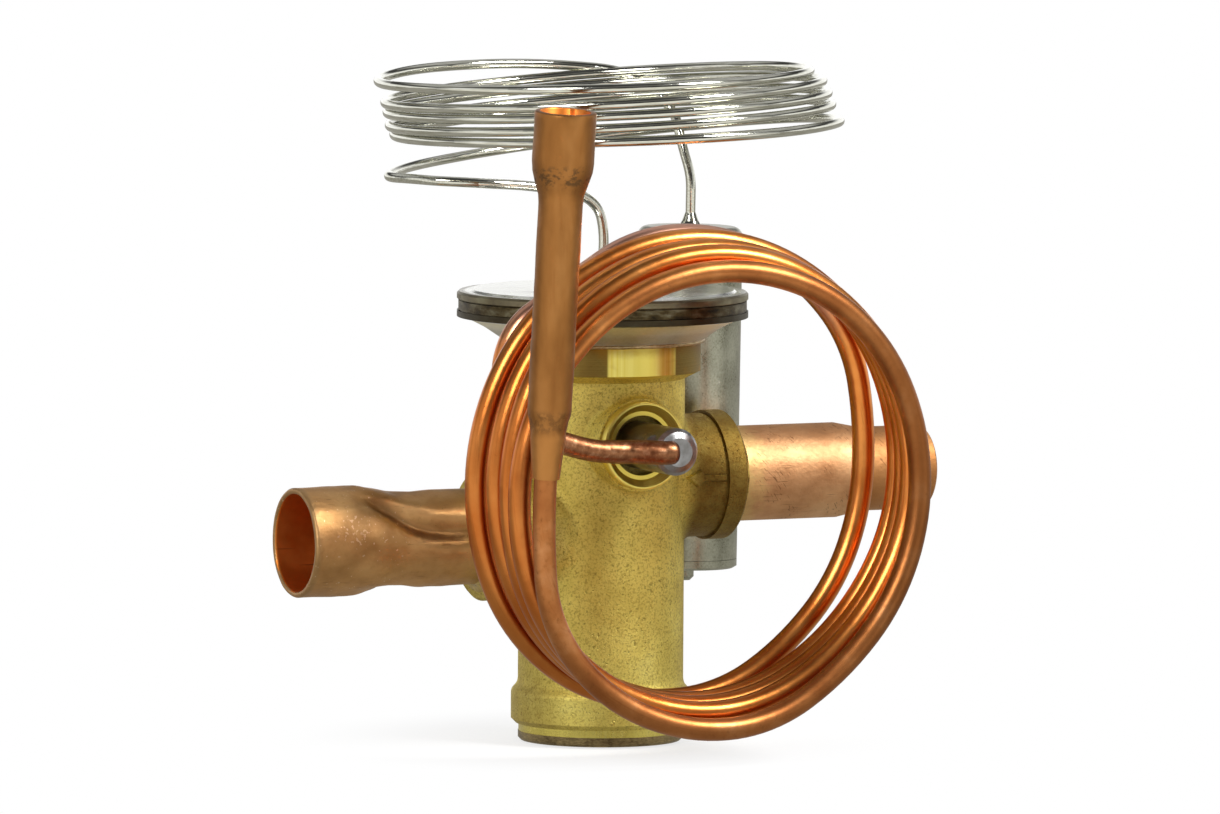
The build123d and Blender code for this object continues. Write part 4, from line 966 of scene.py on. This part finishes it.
class VALVE_OT_arrow(bpy.types.Operator):
    """Raises the flow arrow out of the inlet boss"""
    bl_idname = "valve.arrow"
    bl_label = "Flow arrow"

    def execute(self, context):
        body = NODES["valve_body"]
        to_body = body.matrix_world.inverted()
        outline = [Vector((x, math.radians(heading) * BOSS_R)) for x, heading in ARROW]
        edge = Vector((ARROW_EDGE, ARROW_EDGE))
        low = Vector((min(p.x for p in outline), min(p.y for p in outline))) - edge
        high = Vector((max(p.x for p in outline), max(p.y for p in outline))) + edge
        obj = start("grid", x_subdivisions=72, y_subdivisions=40, size=MM)
        bpy.ops.object.mode_set(mode="OBJECT")

        def raised(point):
            """Lays the sheet on the boss and lifts what lies inside the outline."""
            flat = Vector((
                low.x + (point.x + 0.5) * (high.x - low.x),
                low.y + (point.y + 0.5) * (high.y - low.y)))
            heading = flat.y / BOSS_R
            spot = Vector((
                flat.x, -BOSS_R * math.sin(heading), BOSS_Z + BOSS_R * math.cos(heading)))
            found, place, normal, _ = body.ray_cast(
                to_body @ ((spot + ARROW_SIGHT * SIGHT_FROM) * MM),
                to_body.to_3x3() @ -ARROW_SIGHT)
            if not found:
                return spot
            height = ARROW_HEIGHT * ease((inside(flat, outline) + 0.1) / 0.25) - ARROW_SUNK
            return body.matrix_world @ place / MM + normal * height

        shift(obj, raised)
        settle(obj, "flow_arrow", "forged_brass", angle=80)
        return {"FINISHED"}


class VALVE_OT_spring(bpy.types.Operator):
    """Stands in for the spring with a copy of it in plain steel, on a mesh of its own"""
    bl_idname = "valve.spring"
    bl_label = "Spring"

    def execute(self, context):
        node = NODES["superheat_spring"]
        obj = bpy.data.objects.new("spring_wire", node.data.copy())
        context.collection.objects.link(obj)
        settle(obj, "spring_wire", "plain_steel", ("superheat_spring",))
        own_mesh(obj)
        return {"FINISHED"}


class VALVE_OT_stage(bpy.types.Operator):
    """Sets up the floor, the softboxes, the white surroundings and the camera"""
    bl_idname = "valve.stage"
    bl_label = "Stage"

    def execute(self, context):
        stage = context.scene.valve_stage
        self.floor(stage)
        self.surroundings(context, stage)
        self.softboxes(stage)
        self.camera(context, stage)
        context.scene.view_settings.view_transform = "Standard"
        return {"FINISHED"}

    def floor(self, stage):
        """A white sheet for the camera, and a warmer table for what the metal mirrors."""
        bpy.ops.object.select_all(action="DESELECT")
        bpy.ops.mesh.primitive_circle_add(
            vertices=64, radius=6.0, fill_type="NGON", location=(0, 0, -0.0002))
        floor = bpy.context.object
        floor.name = "floor"
        f = Finish("pale_floor")
        x, y, _ = f.split(f.place())
        reach = (x * x + y * y) ** 0.5
        seen = f.ray("Camera")
        shade = f.node("BsdfPrincipled", None, {
            "Base Color": (0.93, 0.93, 0.93, 1), "Roughness": 0.7})
        white, table, sheet = (
            f.node("Emission", None, {"Color": (*colour, 1), "Strength": strength})
            for colour, strength in (
                ((1, 1, 1), 1.0), ((1.0, 0.97, 0.88), 0.42), ((1.0, 0.98, 0.93), 1.15)))
        toward = x * -math.sin(stage.azimuth) + y * -math.cos(stage.azimuth)

        def blend(share, first, second):
            return f.node("MixShader", None, {0: share, 1: first, 2: second})

        contact = blend(f.level(reach, 4.0, 44.0) * 0.3 + 0.7, shade, white)
        mirrored = blend(f.level(toward, 60.0, 120.0), table, sheet)
        both = blend(seen, mirrored, contact)
        f.node("OutputMaterial", None, {"Surface": both})
        floor.data.materials.append(f.material)

    def surroundings(self, context, stage):
        """A dim room with a tall softbox high in front and a panel on either side."""
        world = bpy.data.worlds.new("studio")
        context.scene.world = world
        f = Finish("studio", world)
        x, y, z = f.split(f.node("TexCoord", output="Generated"))
        toward = x * -math.sin(stage.azimuth) + y * -math.cos(stage.azimuth)
        across = x * math.cos(stage.azimuth) + y * -math.sin(stage.azimuth)
        left = f.below(across, -0.92, -0.50) * f.below(z, 0.30, 0.70)
        left = left * f.level(toward, -0.10, 0.15)
        right = f.level(across, 0.72, 0.86) * f.below(z, 0.35, 0.55)
        right = right * f.level(toward, -0.05, 0.15)
        ceiling = f.level(z, 0.45, 0.60) * f.below(z, 0.66, 0.80) * f.level(toward, 0.0, 0.3)
        low = f.below(z, -0.30, -0.06)
        behind = f.below(toward, -0.20, 0.05)
        sweep = behind * f.below(z, 0.18, 0.34)
        hood = behind * f.level(z, 0.42, 0.58) * f.below(z, 0.94, 0.99)
        room = left
        for panel, strength in (
                (right, 0.7), (ceiling, 0.14), (low, 0.4), (sweep, 1.2), (hood, 0.5)):
            room = room.most(panel * strength)
        room = room + 0.06
        seen = f.ray("Camera").most(f.ray("Transmission"))
        strength = seen.most((1 - seen) * room)
        back = f.node("Background", None, {"Color": (1, 1, 1, 1), "Strength": strength})
        f.node("OutputWorld", None, {"Surface": back})

    def softboxes(self, stage):
        """The two lamps, as (name, place, width, height, watts)."""
        boxes = (
            ("softbox_left", (-0.95, -0.85, 0.75), 0.60, 0.50, 12.5),
            ("softbox_right", (0.56, -0.68, 0.84), 0.32, 0.32, 15.0),
        )
        for name, place, width, height, watts in boxes:
            light = bpy.data.lights.new(name, "AREA")
            light.shape = "RECTANGLE"
            light.size, light.size_y = width, height
            light.energy = watts * stage.lamps
            lamp = bpy.data.objects.new(name, light)
            bpy.context.collection.objects.link(lamp)
            aim = Vector((0, 0, 0.04)) - Vector(place)
            turn = aim.to_track_quat("-Z", "Y").to_matrix().to_4x4()
            lamp.matrix_world = Matrix.Translation(place) @ turn

    def camera(self, context, stage):
        """The camera, aimed a little right of the valve's axis."""
        away = Vector((
            -math.sin(stage.azimuth) * math.cos(stage.elevation),
            -math.cos(stage.azimuth) * math.cos(stage.elevation),
            math.sin(stage.elevation)))
        level = (-away).cross(Vector((0, 0, 1))).normalized()
        upright = level.cross(-away)
        right = level * math.cos(stage.roll) + upright * math.sin(stage.roll)
        up = upright * math.cos(stage.roll) - level * math.sin(stage.roll)
        aim = Vector((0, 0, 0.0439)) + level * 0.00105
        eye = aim + away * stage.distance
        camera = bpy.data.objects.new("camera", bpy.data.cameras.new("camera"))
        context.collection.objects.link(camera)
        turn = Matrix((right, up, away)).transposed().to_4x4()
        camera.matrix_world = Matrix.Translation(eye) @ turn
        camera.data.lens = stage.lens
        camera.data.sensor_width = 36.0
        camera.data.clip_end = 50.0
        context.scene.camera = camera


class VALVE_PT_panel(bpy.types.Panel):
    """Lists the settings and the steps"""
    bl_label = "Expansion valve"
    bl_idname = "VALVE_PT_panel"
    bl_space_type = "VIEW_3D"
    bl_region_type = "UI"
    bl_category = "Valve"

    def draw(self, context):
        for group_name in SETTINGS:
            group = getattr(context.scene, group_name)
            column = self.layout.column()
            for name in group.__annotations__:
                column.prop(group, name)
        for operator in OPERATORS:
            self.layout.operator(operator.bl_idname)


OPERATORS = (
    VALVE_OT_finishes, VALVE_OT_outlet, VALVE_OT_reducer, VALVE_OT_welds, VALVE_OT_brazing,
    VALVE_OT_arrow, VALVE_OT_spring, VALVE_OT_stage,
)
SETTINGS = {
    "valve_finish": FinishSettings, "valve_tubes": TubeSettings, "valve_stage": StageSettings}


def register():
    for group in SETTINGS.values():
        bpy.utils.register_class(group)
    for name, group in SETTINGS.items():
        setattr(bpy.types.Scene, name, bpy.props.PointerProperty(type=group))
    for cls in OPERATORS + (VALVE_PT_panel,):
        bpy.utils.register_class(cls)


def unregister():
    for cls in (VALVE_PT_panel,) + OPERATORS:
        bpy.utils.unregister_class(cls)
    for name, group in SETTINGS.items():
        delattr(bpy.types.Scene, name)
        bpy.utils.unregister_class(group)


def main():
    register()
    bpy.ops.valve.finishes()
    bpy.ops.valve.outlet()
    bpy.ops.valve.reducer()
    bpy.ops.valve.welds()
    bpy.ops.valve.brazing()
    bpy.ops.valve.arrow()
    bpy.ops.valve.spring()
    bpy.ops.valve.stage()


if __name__ == "__main__":
    main()
